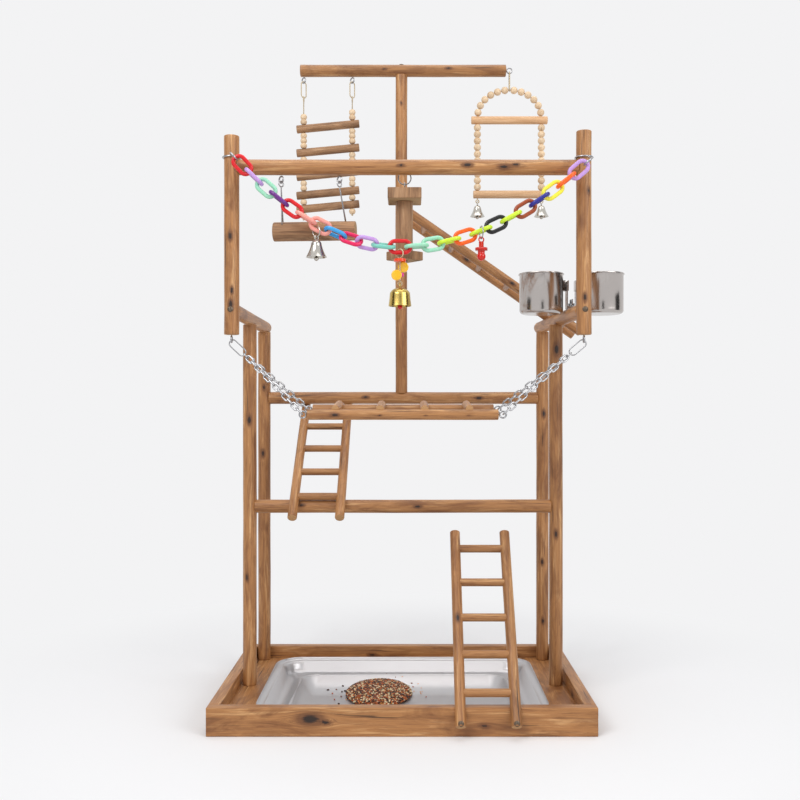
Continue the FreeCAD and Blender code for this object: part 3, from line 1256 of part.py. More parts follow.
def build():
    os.makedirs("parts", exist_ok=True)
    make_tray()
    make_pan()
    wood = make_frame()
    eyes = []
    make_cups(wood)
    screws = make_ladders(wood)
    make_bridge(wood, eyes)
    make_bead_ladder(wood, eyes)
    make_arch_swing(wood, eyes)
    make_perch_swing(wood, eyes)
    make_block_toy(wood, eyes)
    lines, side = make_chain()
    make_chain_bell(lines, side)
    make_red_charm(lines, side)
    make_centre_charm(lines, side)
    screws += make_fasteners(wood)
    keep("screw_eyes", *eyes)
    keep("frame_screws", *screws)
    for name, shape in wood.items():
        keep(name, shape)
    for name, shape in NODES.items():
        shape.exportStep(f"parts/{name}.step")
    for name, (point, axis) in PIVOTS.items():
        place = ", ".join(f"{value:.3f}" for value in (*point, *axis))
        print(f"{name}: {place}")


build()
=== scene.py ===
"""Looks of a wooden parrot play stand: round timber frame, steel pan and cups, ladders and hanging toys."""

import math
import random

import bmesh
import bpy
import json
import numpy as np
from mathutils import Matrix, Vector, noise


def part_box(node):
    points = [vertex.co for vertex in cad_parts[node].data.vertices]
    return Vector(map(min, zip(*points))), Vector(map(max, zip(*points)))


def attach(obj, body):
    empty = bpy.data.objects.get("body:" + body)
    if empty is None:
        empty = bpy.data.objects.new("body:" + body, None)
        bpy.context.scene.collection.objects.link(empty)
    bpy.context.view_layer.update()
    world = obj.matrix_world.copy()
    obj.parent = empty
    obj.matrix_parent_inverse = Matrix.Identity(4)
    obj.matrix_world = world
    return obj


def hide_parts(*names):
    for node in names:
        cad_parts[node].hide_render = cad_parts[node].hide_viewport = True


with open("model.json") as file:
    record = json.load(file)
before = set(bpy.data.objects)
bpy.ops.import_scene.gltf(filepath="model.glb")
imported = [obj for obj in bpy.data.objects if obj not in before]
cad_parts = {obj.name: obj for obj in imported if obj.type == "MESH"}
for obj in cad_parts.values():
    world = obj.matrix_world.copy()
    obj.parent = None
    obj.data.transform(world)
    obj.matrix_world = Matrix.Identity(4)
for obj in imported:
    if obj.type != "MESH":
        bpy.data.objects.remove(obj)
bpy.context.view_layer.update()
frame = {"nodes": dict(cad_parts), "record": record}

MM = 0.001

# Camera, solved from the level rails and posts of the photograph
CAMERA_PLACE = (0.0085, -1.350, 0.4056)
FOCAL_PIXELS = 974.0
FRAME_PIXELS = 800.0
VANISHING_POINT = (409.0, 405.0)
SENSOR_WIDTH = 36.0

# Lights: name, place, target, size in metres, watts
LIGHTS = (
    ("key", (-1.3, -1.9, 2.2), (0, 0, 0.45), 1.3, 36.0),
    ("fill", (1.7, -1.6, 1.4), (0, 0, 0.45), 1.4, 22.0),
    ("top", (0.1, 0.2, 2.6), (0, 0, 0.3), 2.0, 20.0),
)
# Dark cards that only reflections see: name, place, width in metres
CARDS = (
    ("card_left", (-1.5, -0.5, 0.6), 0.7),
    ("card_right", (1.7, -0.3, 0.6), 0.8),
    ("card_front", (0.15, -2.6, 0.6), 0.5),
)
SOFT_LIGHT = 0.5
CARD_TARGET = (0, 0, 0.55)
CARD_HEIGHT = 1.8

# Timber
AROUND = 44
STEP_ALONG = 4.0 * MM
END_EASE = 1.1 * MM
SKIN_MARGIN = 0.25 * MM
SLANT_LIMIT = 0.6 * MM
BEND_SEED = 11
MERGE_DISTANCE = 0.01 * MM
KNOT_STRETCH = 2.1

PAN_FLANGE = 8 * MM

# Seed heap
SEED_COUNT = 4200
STRAY_SEEDS = 40
HANDFUL = 60
SEED_SIZES = (3.0, 4.2, 4.4, 2.2, 3.4)
SEED_SHARES = (34, 9, 20, 24, 13)
SEED_WIDTH, SEED_FLATNESS = 0.62, 0.5
SEED_LEAN = 0.6
HEAP_CORE = (0.93, 0.93, 0.86)
LYING_HEIGHT = 0.7 * MM
BROWN_SEED = 4

# How uneven the thinner sticks are, next to 1 for the frame
SLIM_WOBBLE = 0.4
DOWEL_WOBBLE = 0.5
OFFCUT_WOBBLE = 0.6


# ---------------------------------------------------------------- materials
def linear(hex_colour, alpha=1.0):
    """An sRGB hex colour as linear values."""
    values = [int(hex_colour[i:i + 2], 16) / 255 for i in (1, 3, 5)]
    return tuple(v / 12.92 if v <= 0.04045 else ((v + 0.055) / 1.055) ** 2.4 for v in values) + (alpha,)


def add(tree, kind, settings=None, sockets=None, links=None):
    """Adds one node with its settings and socket values, and links (node, output) to its inputs."""
    made = tree.nodes.new(kind)
    for key, value in (settings or {}).items():
        setattr(made, key, value)
    for key, value in (sockets or {}).items():
        made.inputs[key].default_value = value
    for key, (source, output) in (links or {}).items():
        tree.links.new(source.outputs[output], made.inputs[key])
    return made


def new_material(name, surface=None):
    material = bpy.data.materials.new(name)
    material.use_nodes = True
    tree = material.node_tree
    tree.nodes.clear()
    shader = add(tree, "ShaderNodeBsdfPrincipled", sockets=surface)
    add(tree, "ShaderNodeOutputMaterial", links={"Surface": (shader, "BSDF")})
    return material, tree, shader


def ramp(tree, stops, source, output="Fac"):
    made = add(tree, "ShaderNodeValToRGB", links={"Fac": (source, output)})
    elements = made.color_ramp.elements
    while len(elements) < len(stops):
        elements.new(0.5)
    for element, (place, colour) in zip(elements, stops):
        element.position = place
        element.color = linear(colour) if isinstance(colour, str) else (colour, colour, colour, 1)
    return made


def blend_colours(tree, factor, first, second, mode="MIX"):
    """Mixes two colour sources by a factor source."""
    made = add(tree, "ShaderNodeMix", {"data_type": "RGBA", "blend_type": mode})
    tree.links.new(factor[0].outputs[factor[1]], made.inputs["Factor"])
    tree.links.new(first[0].outputs[first[1]], made.inputs[6])
    if isinstance(second, str):
        made.inputs[7].default_value = linear(second)
    else:
        tree.links.new(second[0].outputs[second[1]], made.inputs[7])
    return made


def timber_material(name, dark, middle, light, streak, knot, roughness):
    """Peeled round hardwood under a thin matt varnish: long grain streaks, dark knots, fine pores."""
    material, tree, shader = new_material(name, {"Roughness": roughness, "IOR": 1.5})
    grain = add(tree, "ShaderNodeAttribute", {"attribute_name": "grain"})
    # bands about 110 mm long and 7 mm wide
    bands = add(tree, "ShaderNodeMapping", sockets={"Scale": (9, 150, 150)},
                links={"Vector": (grain, "Vector")})
    wide = add(tree, "ShaderNodeTexNoise", sockets={"Scale": 1.0, "Detail": 6.0, "Roughness": 0.68,
               "Distortion": 0.6}, links={"Vector": (bands, "Vector")})
    base = ramp(tree, [(0.3, dark), (0.44, middle), (0.54, middle), (0.68, light)], wide)
    # patches about 90 mm long and 23 mm wide, darker where the bark's inner skin is left
    patches = add(tree, "ShaderNodeMapping", sockets={"Scale": (11, 44, 44)},
                  links={"Vector": (grain, "Vector")})
    blotch = add(tree, "ShaderNodeTexNoise", sockets={"Scale": 1.0, "Detail": 6.0, "Roughness": 0.62,
                 "Distortion": 1.0}, links={"Vector": (patches, "Vector")})
    skin = ramp(tree, [(0.48, 0.0), (0.66, 0.85)], blotch)
    blotched = blend_colours(tree, (skin, "Color"), (base, "Color"), dark)
    # fibres about 1 mm wide and 40 mm long
    fibres = add(tree, "ShaderNodeMapping", sockets={"Scale": (24, 900, 900)},
                 links={"Vector": (grain, "Vector")})
    fine = add(tree, "ShaderNodeTexNoise", sockets={"Scale": 1.0, "Detail": 3.0, "Roughness": 0.65},
               links={"Vector": (fibres, "Vector")})
    fine_mask = ramp(tree, [(0.46, 0.0), (0.72, 0.6)], fine)
    fibred = blend_colours(tree, (fine_mask, "Color"), (blotched, 2), streak)
    # drying checks: a few thin dark lines, about 3 mm wide and 110 mm long
    lines = add(tree, "ShaderNodeMapping", sockets={"Scale": (9, 330, 330), "Location": (3, 5, 7)},
                links={"Vector": (grain, "Vector")})
    checks = add(tree, "ShaderNodeTexNoise", sockets={"Scale": 1.0, "Detail": 2.0, "Roughness": 0.5},
                 links={"Vector": (lines, "Vector")})
    check_mask = ramp(tree, [(0.66, 0.0), (0.72, 0.8)], checks)
    checked = blend_colours(tree, (check_mask, "Color"), (fibred, 2), knot)
    # whole sticks differ a little
    tone = add(tree, "ShaderNodeAttribute", {"attribute_name": "tone"})
    toned = add(tree, "ShaderNodeHueSaturation", links={"Color": (checked, 2), "Value": (tone, "Fac")})
    # knots: a brown halo drawn out along the fibres round a black, cracked middle
    knots = add(tree, "ShaderNodeAttribute", {"attribute_name": "knot"})
    ragged = add(tree, "ShaderNodeMath", {"operation": "MULTIPLY_ADD"}, {1: 0.7, 2: -0.35},
                 {0: (fine, "Fac")})
    edge = add(tree, "ShaderNodeMath", {"operation": "ADD"}, links={0: (knots, "Fac"), 1: (ragged, "Value")})
    halo_mask = ramp(tree, [(0.06, 0.0), (0.4, 0.85)], edge, "Value")
    haloed = blend_colours(tree, (halo_mask, "Color"), (toned, "Color"), streak)
    core_mask = ramp(tree, [(0.58, 0.0), (0.78, 1.0)], edge, "Value")
    finished = blend_colours(tree, (core_mask, "Color"), (haloed, 2), knot)
    tree.links.new(finished.outputs[2], shader.inputs["Base Color"])
    height = add(tree, "ShaderNodeMath", {"operation": "ADD"}, links={0: (wide, "Fac"), 1: (fine, "Fac")})
    bump = add(tree, "ShaderNodeBump", sockets={"Strength": 0.35, "Distance": 0.5 * MM},
               links={"Height": (height, "Value")})
    tree.links.new(bump.outputs["Normal"], shader.inputs["Normal"])
    return material


def end_grain_material(name, dark, light):
    """Sawn ends of round timber: growth rings about 1.3 mm apart and a dark pith."""
    material, tree, shader = new_material(name, {"Roughness": 0.72, "IOR": 1.5})
    grain = add(tree, "ShaderNodeAttribute", {"attribute_name": "section"})
    rings = add(tree, "ShaderNodeTexWave", {"wave_type": "RINGS", "rings_direction": "X"},
                {"Scale": 240.0, "Distortion": 2.2, "Detail": 2.0, "Detail Scale": 1.5},
                {"Vector": (grain, "Vector")})
    colour = ramp(tree, [(0.1, dark), (0.8, light)], rings)
    tree.links.new(colour.outputs["Color"], shader.inputs["Base Color"])
    bump = add(tree, "ShaderNodeBump", sockets={"Strength": 0.25, "Distance": 0.2 * MM},
               links={"Height": (rings, "Fac")})
    tree.links.new(bump.outputs["Normal"], shader.inputs["Normal"])
    return material


def metal_material(name, colour, roughness, smudge, scale, stretch=(1, 1, 1), bump=0.05):
    """A metal whose gloss is broken by faint marks at a given scale, per metre."""
    material, tree, shader = new_material(name, {"Base Color": linear(colour), "Metallic": 1.0})
    place = add(tree, "ShaderNodeTexCoord")
    turned = add(tree, "ShaderNodeMapping", sockets={"Scale": stretch}, links={"Vector": (place, "Object")})
    marks = add(tree, "ShaderNodeTexNoise", sockets={"Scale": scale, "Detail": 4.0, "Roughness": 0.6},
                links={"Vector": (turned, "Vector")})
    gloss = add(tree, "ShaderNodeMapRange",
                sockets={"To Min": roughness - smudge, "To Max": roughness + smudge},
                links={"Value": (marks, "Fac")})
    tree.links.new(gloss.outputs["Result"], shader.inputs["Roughness"])
    raised = add(tree, "ShaderNodeBump", sockets={"Strength": bump, "Distance": 0.1 * MM},
                 links={"Height": (marks, "Fac")})
    tree.links.new(raised.outputs["Normal"], shader.inputs["Normal"])
    return material


def plastic_material(name, colour, roughness=0.32, glow=0.0, clear=0.0):
    """Injection-moulded polypropylene: even colour with slight cloudiness and a soft gloss."""
    material, tree, shader = new_material(name, {"Roughness": roughness, "IOR": 1.49,
                                                 "Transmission Weight": clear, "Subsurface Weight": glow,
                                                 "Subsurface Scale": 2 * MM})
    place = add(tree, "ShaderNodeTexCoord")
    cloud = add(tree, "ShaderNodeTexNoise", sockets={"Scale": 180.0, "Detail": 2.0},
                links={"Vector": (place, "Object")})
    shade = add(tree, "ShaderNodeMapRange", sockets={"To Min": 0.92, "To Max": 1.06},
                links={"Value": (cloud, "Fac")})
    tinted = add(tree, "ShaderNodeHueSaturation", sockets={"Color": linear(colour)},
                 links={"Value": (shade, "Result")})
    tree.links.new(tinted.outputs["Color"], shader.inputs["Base Color"])
    skin = add(tree, "ShaderNodeBump", sockets={"Strength": 0.06, "Distance": 0.1 * MM},
               links={"Height": (cloud, "Fac")})
    tree.links.new(skin.outputs["Normal"], shader.inputs["Normal"])
    return material


def seed_material(name, colour, stripe, roughness=0.55):
    """Dry seed husk: satin, with a paler or darker stripe about 1 mm wide."""
    material, tree, shader = new_material(name, {"Roughness": roughness, "IOR": 1.45})
    place = add(tree, "ShaderNodeTexCoord")
    husk = add(tree, "ShaderNodeTexNoise", sockets={"Scale": 700.0, "Detail": 2.0},
               links={"Vector": (place, "Object")})
    colours = ramp(tree, [(0.4, colour), (0.62, stripe)], husk)
    tree.links.new(colours.outputs["Color"], shader.inputs["Base Color"])
    return material


def cord_material(name, dark, light):
    """Twisted jute and cotton cord: fibres about 0.6 mm apart, very matt."""
    material, tree, shader = new_material(name, {"Roughness": 0.9, "Sheen Weight": 0.2})
    place = add(tree, "ShaderNodeTexCoord")
    turned = add(tree, "ShaderNodeMapping", sockets={"Rotation": (0.6, 0.6, 0)},
                 links={"Vector": (place, "Object")})
    twist = add(tree, "ShaderNodeTexWave", sockets={"Scale": 260.0, "Distortion": 1.5},
                links={"Vector": (turned, "Vector")})
    colours = ramp(tree, [(0.1, dark), (0.8, light)], twist)
    tree.links.new(colours.outputs["Color"], shader.inputs["Base Color"])
    lay = add(tree, "ShaderNodeBump", sockets={"Strength": 0.5, "Distance": 0.3 * MM},
              links={"Height": (twist, "Fac")})
    tree.links.new(lay.outputs["Normal"], shader.inputs["Normal"])
    return material


# Frame timber: varnished round eucalyptus or poplar, warm brown
VARNISHED = timber_material("varnished_round_timber", "#7A4C28", "#AE7A49", "#DAAA76", "#6A4022", "#26140A",
                            0.46)
VARNISHED_END = end_grain_material("sawn_timber_end", "#9A6E42", "#C79C6C")
# Tray boards: the same varnish on sawn planks
PLANK = timber_material("varnished_plank", "#7A4C28", "#AA7645", "#CE9E6A", "#6C4224", "#26150B", 0.46)
# Arch swing perches: sanded birch-like dowel, paler and a little pink
DOWEL = timber_material("sanded_dowel", "#B98C62", "#D4AA80", "#E6C6A2", "#B08258", "#7A5434", 0.6)
DOWEL_END = end_grain_material("sanded_dowel_end", "#C49A70", "#E2C09A")
# Toy blocks, swing logs and bead ladder rungs: grey-brown weathered offcuts of the frame timber
WEATHERED = timber_material("weathered_offcut", "#6A4A30", "#A37A56", "#C9A27C", "#5E4028", "#24160C", 0.62)
WEATHERED_END = end_grain_material("weathered_offcut_end", "#8A6A48", "#BC9A72")
# Beads: turned pale beech
BEAD = timber_material("turned_beech_bead", "#CDAE8A", "#E2C8A6", "#EFDDC2", "#C2A07C", "#A98660", 0.55)
# Pan: stamped stainless sheet with a rolled-mill finish, dull
PAN_STEEL = metal_material("mill_finish_steel", "#BDBBBC", 0.4, 0.05, 60.0, (1, 6, 6), 0.02)
# Cups: spun stainless steel, brushed round the wall
CUP_STEEL = metal_material("spun_stainless", "#BAB4B0", 0.2, 0.02, 60.0, (1, 1, 14), 0.01)
# Hooks, eyes, small chain: bright zinc plate
ZINC = metal_material("bright_zinc", "#ACACAE", 0.26, 0.06, 400.0)
# Screw heads: the same plate, dulled by the varnish
DULL_ZINC = metal_material("dulled_zinc", "#6E6154", 0.45, 0.06, 400.0)
# Small bells: nickel plate
NICKEL = metal_material("nickel_plate", "#C4C0B8", 0.16, 0.04, 240.0)
# Centre bell: polished brass
BRASS = metal_material("polished_brass", "#C9AE62", 0.24, 0.04, 240.0)
CORD = cord_material("twisted_cord", "#9E8663", "#E0D2B4")

LINK_COLOURS = {
    "red": "#D8161E", "lilac": "#C39ADB", "mint": "#9EDCBD", "violet": "#6B2A86", "salmon": "#F29F92",
    "sky": "#3A9FE0", "magenta": "#E4205E", "teal": "#7CC9B8", "lime": "#CFEF38", "orange": "#FF6514",
    "black": "#1A1A1C", "brown": "#9E4720", "navy": "#29298F", "yellow": "#F3E945",
}
LINK_ORDER = (
    "red lilac mint violet red salmon salmon sky magenta lilac teal red "
    "mint mint lime orange lime black lime brown navy yellow orange lilac"
).split()
LINK_PLASTICS = {
    name: plastic_material(f"{name}_plastic", colour, glow=0.08) for name, colour in LINK_COLOURS.items()
}
ORANGE_RED = plastic_material("orange_red_plastic", "#EE4A26", 0.25)
RED_ACRYLIC = plastic_material("red_acrylic", "#E02418", 0.12, clear=0.25)
YELLOW_ACRYLIC = plastic_material("yellow_acrylic", "#FFC83A", 0.12, glow=0.3, clear=0.12)
MAGENTA_BIT = plastic_material("magenta_plastic", "#E0309A", 0.25)
SEEDS = [
    seed_material("red_milo_seed", "#9C4420", "#BE6432"),
    seed_material("safflower_seed", "#EAD9B4", "#C7AE80"),
    seed_material("black_sunflower_seed", "#2A1A14", "#4A2E22"),
    seed_material("millet_seed", "#D0762A", "#E8A656"),
    seed_material("brown_seed", "#6A3C1E", "#8C5630"),
]


# ---------------------------------------------------------------- mesh helpers
def finish_piece(bm, name, body, materials, replaced=(), smooth_angle=40.0):
    mesh = bpy.data.meshes.new(name)
    for face in bm.faces:
        face.smooth = True
    bm.to_mesh(mesh)
    bm.free()
    mesh.set_sharp_from_angle(angle=math.radians(smooth_angle))
    for material in materials:
        mesh.materials.append(material)
    piece = bpy.data.objects.new(name, mesh)
    bpy.context.scene.collection.objects.link(piece)
    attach(piece, body)
    if replaced:
        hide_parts(*replaced)
    return piece


def body_name(node):
    for name, listed in frame["record"]["behaviour"]["bodies"].items():
        if node in listed:
            return name
    raise KeyError(node)


def merged_copy(node):
    """The CAD node's mesh with its loose triangles joined."""
    bm = bmesh.new()
    source = frame["nodes"][node]
    bm.from_mesh(source.data)
    bm.transform(source.matrix_world)
    bmesh.ops.remove_doubles(bm, verts=bm.verts, dist=MERGE_DISTANCE)
    return bm


def islands(bm):
    """Lists of faces, one list for each separate solid, from left to right."""
    bm.faces.ensure_lookup_table()
    seen, groups = set(), []
    for face in bm.faces:
        if face in seen:
            continue
        stack, group = [face], []
        seen.add(face)
        while stack:
            current = stack.pop()
            group.append(current)
            for vert in current.verts:
                for neighbour in vert.link_faces:
                    if neighbour not in seen:
                        seen.add(neighbour)
                        stack.append(neighbour)
        groups.append(group)
    groups.sort(key=lambda faces: sum(face.calc_center_median().x for face in faces) / len(faces))
    return groups


def corners(faces):
    points = np.array([vert.co[:] for face in faces for vert in face.verts])
    return points


def stick_line(points):
    """Ends and radius of a round stick, level, upright or slanting in one plane, from its points."""
    low, high = points.min(0), points.max(0)
    size = high - low
    order = np.argsort(size)
    main, other = order[2], order[1]
    radius = size[order[0]] / 2
    centre = (low + high) / 2
    direction = np.zeros(3)
    direction[main] = 1.0
    length = size[main]
    if size[other] - 2 * radius > SLANT_LIMIT:
        angle = math.atan2(size[other], size[main])
        for _ in range(12):
            run = size[main] - 2 * radius * math.sin(angle)
            rise = size[other] - 2 * radius * math.cos(angle)
            angle = math.atan2(rise, run)
        length = math.hypot(run, rise)
        spread = points - points.mean(0)
        sign = 1.0 if (spread[:, main] * spread[:, other]).sum() > 0 else -1.0
        direction[main], direction[other] = math.cos(angle), sign * math.sin(angle)
    ends = centre - direction * length / 2, centre + direction * length / 2
    return Vector(ends[0]), Vector(ends[1]), radius


def knot_field(along, across, spots):
    """How much of a knot a point has, and how far the fibres are pushed aside there."""
    value, push = 0.0, 0.0
    for place, side, size in spots:
        run, off = along - place, across - side
        near = (run / (size * KNOT_STRETCH)) ** 2 + (off / size) ** 2
        value = max(value, math.exp(-near))
        push += math.copysign(size, off) * math.exp(-near * 0.35)
    return value, push


def pour(part, bm):
    """Adds a part to a mesh and frees it: small meshes are quicker to work on."""
    scratch = bpy.data.meshes.new("scratch")
    part.to_mesh(scratch)
    part.free()
    bm.from_mesh(scratch)
    bpy.data.meshes.remove(scratch)


def add_stick(bm, start, end, radius, seed, layers, wobble=1.0, knots=()):
    """A slightly uneven round stick with eased, sawn ends and its grain, tone and knot values."""
    chance = random.Random(seed)
    run = end - start
    length = run.length
    turn = Vector((0, 0, 1)).rotation_difference(run).to_matrix().to_4x4()
    radius -= SKIN_MARGIN
    part = bmesh.new()
    grain, section, tone, knot = (make(part) for make in layers)
    bmesh.ops.create_cone(part, cap_ends=True, cap_tris=False, segments=AROUND, radius1=radius,
                          radius2=radius, depth=length)
    rims = [edge for edge in part.edges if abs(edge.verts[0].co.z - edge.verts[1].co.z) < 1e-6]
    bmesh.ops.bevel(part, geom=rims, offset=min(END_EASE, radius * 0.3), offset_type="OFFSET", segments=3,
                    profile=0.5, affect="EDGES", material=-1)
    long_edges = [edge for edge in part.edges if edge.calc_length() > length * 0.6]
    cuts = max(2, int(length / STEP_ALONG))
    bmesh.ops.subdivide_edges(part, edges=long_edges, cuts=cuts, use_grid_fill=True)
    offset = Vector((chance.uniform(0, 9), chance.uniform(0, 9), chance.uniform(0, 9)))
    shade = chance.uniform(0.9, 1.1)
    spots = [(share * length, 0.0, size * MM, math.radians(angle)) for share, angle, size in knots]
    lean = wobble * radius / (10 * MM)
    for vert in part.verts:
        x, y, along = vert.co.x, vert.co.y, vert.co.z + length / 2
        angle = math.atan2(y, x)
        reach = math.hypot(x, y)
        value, push = 0.0, 0.0
        for place, side, size, facing in spots:
            gap = (angle - facing + math.pi) % (2 * math.pi) - math.pi
            here, aside = knot_field(along, gap * radius, [(place, side, size)])
            value, push = max(value, here), push + aside
        swell = noise.noise(Vector((math.cos(angle) * 0.8, math.sin(angle) * 0.8, along * 26)) + offset)
        growth = (0.22 * swell - 0.12) * MM * lean + value * 0.35 * MM
        if reach > 1e-6:
            factor = 1 + growth / radius
            vert.co.x, vert.co.y = x * factor, y * factor
        taper = min(1.0, along / (25 * MM), (length - along) / (25 * MM))
        bend = noise.noise_vector(Vector((along * 7, offset.x, offset.y)))
        vert.co.x += bend.x * 0.45 * MM * lean * taper
        vert.co.y += bend.y * 0.45 * MM * lean * taper
        swirl = angle - push / radius * 0.6
        vert[grain] = Vector((along, reach * math.cos(swirl), reach * math.sin(swirl))) + offset
        vert[section] = Vector((x, y, 0)) + Vector((0.8 * MM, -0.6 * MM, 0))
        vert[tone] = shade
        vert[knot] = value
    for face in part.faces:
        middle = face.calc_center_median()
        face.material_index = 1 if abs(face.normal.z) > 0.9 and abs(middle.z) > length / 2 - END_EASE else 0
    part.transform(Matrix.Translation((start + end) / 2) @ turn)
    pour(part, bm)


def wood_layers():
    """What each timber mesh carries for its material."""
    return (
        lambda bm: bm.verts.layers.float_vector.new("grain"),
        lambda bm: bm.verts.layers.float_vector.new("section"),
        lambda bm: bm.verts.layers.float.new("tone"),
        lambda bm: bm.verts.layers.float.new("knot"),
    )


def stick_piece(node, materials, seed, wobble=1.0, knots=None):
    """Replaces a CAD node of straight sticks with uneven timber in the same places."""
    copy = merged_copy(node)
    bm = bmesh.new()
    for make in wood_layers():
        make(bm)
    for index, faces in enumerate(islands(copy)):
        start, end, radius = stick_line(corners(faces))
        marks = (knots or {}).get(index, ())
        add_stick(bm, start, end, radius, seed * 100 + index, wood_layers(), wobble, marks)
    copy.free()
    return finish_piece(bm, f"{node}_timber", body_name(node), materials, (node,))


def add_plank(bm, low, high, seed, layers, bevel, knots=()):
    """A plank with eased edges whose grain runs the long way; knots are (share, share, mm) on its sides."""
    chance = random.Random(seed)
    size = high - low
    centre = (low + high) / 2
    main = max(range(3), key=lambda axis: size[axis])
    others = sorted((axis for axis in range(3) if axis != main), key=lambda axis: -size[axis])
    part = bmesh.new()
    grain, section, tone, knot = (make(part) for make in layers)
    bmesh.ops.create_cube(part, size=1.0)
    bmesh.ops.scale(part, vec=size, verts=part.verts)
    bmesh.ops.bevel(part, geom=part.edges, offset=bevel * MM, offset_type="OFFSET", segments=3, profile=0.5,
                    affect="EDGES", material=-1)
    for axis in (main, others[0]):
        cuts = int(size[axis] / STEP_ALONG)
        for number in range(1, cuts):
            place = Vector((0, 0, 0))
            place[axis] = size[axis] * (number / cuts - 0.5)
            normal = Vector((0, 0, 0))
            normal[axis] = 1.0
            bmesh.ops.bisect_plane(part, geom=part.verts[:] + part.edges[:] + part.faces[:], dist=1e-7,
                                   plane_co=place, plane_no=normal)
    offset = Vector((chance.uniform(0, 9), chance.uniform(0, 9), chance.uniform(0, 9)))
    shade = chance.uniform(0.94, 1.06)
    spots = []
    for share, side, mm in knots:
        spots.append(((share - 0.5) * size[main], (side - 0.5) * size[others[0]], mm * MM))
    for vert in part.verts:
        along, wide, deep = vert.co[main], vert.co[others[0]], vert.co[others[1]]
        value, push = knot_field(along, wide, spots)
        vert[grain] = Vector((along, wide - push * 0.9, deep)) + offset
        vert[section] = Vector((wide, deep, 0)) * 0.6
        vert[tone] = shade
        vert[knot] = value
    bmesh.ops.translate(part, vec=centre, verts=part.verts)
    pour(part, bm)


def plank_mesh():
    bm = bmesh.new()
    for make in wood_layers():
        make(bm)
    return bm


def board_piece(node, seed, bevel=1.0, knots=()):
    """Replaces a box-shaped CAD node with a plank."""
    bm = plank_mesh()
    low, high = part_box(node)
    add_plank(bm, low, high, seed, wood_layers(), bevel, knots)
    return finish_piece(bm, f"{node}_plank", body_name(node), [PLANK], (node,))


def dress_deck():
    """Two side planks and two battens round the pan's well."""
    low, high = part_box("deck_boards")
    pan_low, pan_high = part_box("seed_pan")
    left, right = pan_low.x + PAN_FLANGE, pan_high.x - PAN_FLANGE
    front, back = pan_low.y + PAN_FLANGE, pan_high.y - PAN_FLANGE
    bm = plank_mesh()
    for number, (x0, x1, y0, y1) in enumerate((
        (low.x, left, low.y, high.y),
        (right, high.x, low.y, high.y),
        (left, right, low.y, front),
        (left, right, back, high.y),
    )):
        add_plank(bm, Vector((x0, y0, low.z)), Vector((x1, y1, high.z)), 70 + number, wood_layers(), 0.6)
    finish_piece(bm, "deck_planks", body_name("deck_boards"), [PLANK],
                 ("deck_boards",))


def dress(node, material, smooth_angle=35.0):
    """A smooth-shaded copy of a CAD node in its own material."""
    bm = merged_copy(node)
    return finish_piece(bm, f"{node}_finish", body_name(node), [material], (node,),
                        smooth_angle)


def dress_wood(node, materials, seed, tone_range=(0.92, 1.08)):
    """A CAD node of small wooden pieces, each with its own grain along its longest side."""
    bm = merged_copy(node)
    grain, section, tone, knot = (make(bm) for make in wood_layers())
    for index, faces in enumerate(islands(bm)):
        chance = random.Random(seed * 100 + index)
        offset = Vector((chance.uniform(0, 9), chance.uniform(0, 9), chance.uniform(0, 9)))
        shade = chance.uniform(*tone_range)
        points = corners(faces)
        low, high = points.min(0), points.max(0)
        centre = Vector((low + high) / 2)
        main = int(np.argmax(high - low))
        others = [axis for axis in range(3) if axis != main]
        for vert in {vert for face in faces for vert in face.verts}:
            place = vert.co - centre
            vert[grain] = Vector((place[main], place[others[0]], place[others[1]])) + offset
            vert[section] = Vector((place[others[0]], place[others[1]], 0))
            vert[tone] = shade
            vert[knot] = 0.0
        for face in faces:
            face.material_index = 1 if len(materials) > 1 and abs(face.normal[main]) > 0.9 else 0
    return finish_piece(bm, f"{node}_wood", body_name(node), materials, (node,), 35.0)


# ---------------------------------------------------------------- timber frame
FRAME_KNOTS = {
    "main_perch": {0: ((0.674, 265, 3.6), (0.78, 278, 3.4), (0.815, 262, 2.4), (0.48, 268, 2.2))},
    "upper_post_left": {0: ((0.49, 268, 3.2), (0.15, 272, 3.4), (0.22, 280, 2.4))},
    "upper_post_right": {0: ((0.18, 268, 3.0), (0.7, 300, 2.4))},
    "front_post_left": {0: ((0.735, 275, 3.4), (0.3, 255, 2.6))},
    "front_post_right": {0: ((0.93, 268, 4.4), (0.42, 262, 3.0))},
    "back_post_left": {0: ((0.63, 265, 3.4), (0.83, 275, 2.6))},
    "back_post_right": {0: ((0.75, 275, 3.4), (0.3, 260, 2.6), (0.12, 268, 2.6))},
    "mast": {0: ((0.907, 268, 1.8), (0.4, 262, 2.2))},
    "middle_rail": {0: ((0.36, 262, 2.6), (0.78, 270, 2.8))},
    "lower_rail": {0: ((0.55, 265, 3.0), (0.16, 255, 2.6))},
    "top_perch": {0: ((0.41, 270, 1.9), (0.72, 262, 2.4))},
    "front_ladder_rails": {0: ((0.52, 100, 3.0), (0.52, 270, 3.0)), 1: ((0.75, 100, 2.6),)},
    "middle_ladder_rails": {0: ((0.3, 100, 2.6),), 1: ((0.5, 100, 2.6),)},
    "ramp_ladder_rails": {0: ((0.35, 262, 3.2), (0.7, 275, 2.6)), 1: ((0.6, 270, 3.0),)},
    "bridge_rails": {0: ((0.147, 274, 2.6), (0.381, 278, 0.9), (0.615, 278, 0.9), (0.848, 278, 0.9))},
}
FRAME_STICKS = (
    "front_post_left", "front_post_right", "back_post_left", "back_post_right", "arm_left", "arm_right",
    "upper_post_left", "upper_post_right", "main_perch", "middle_rail", "lower_rail", "mast", "top_perch",
    "front_ladder_rails", "front_ladder_rungs", "middle_ladder_rails", "middle_ladder_rungs",
    "ramp_ladder_rails", "ramp_ladder_rungs",
)


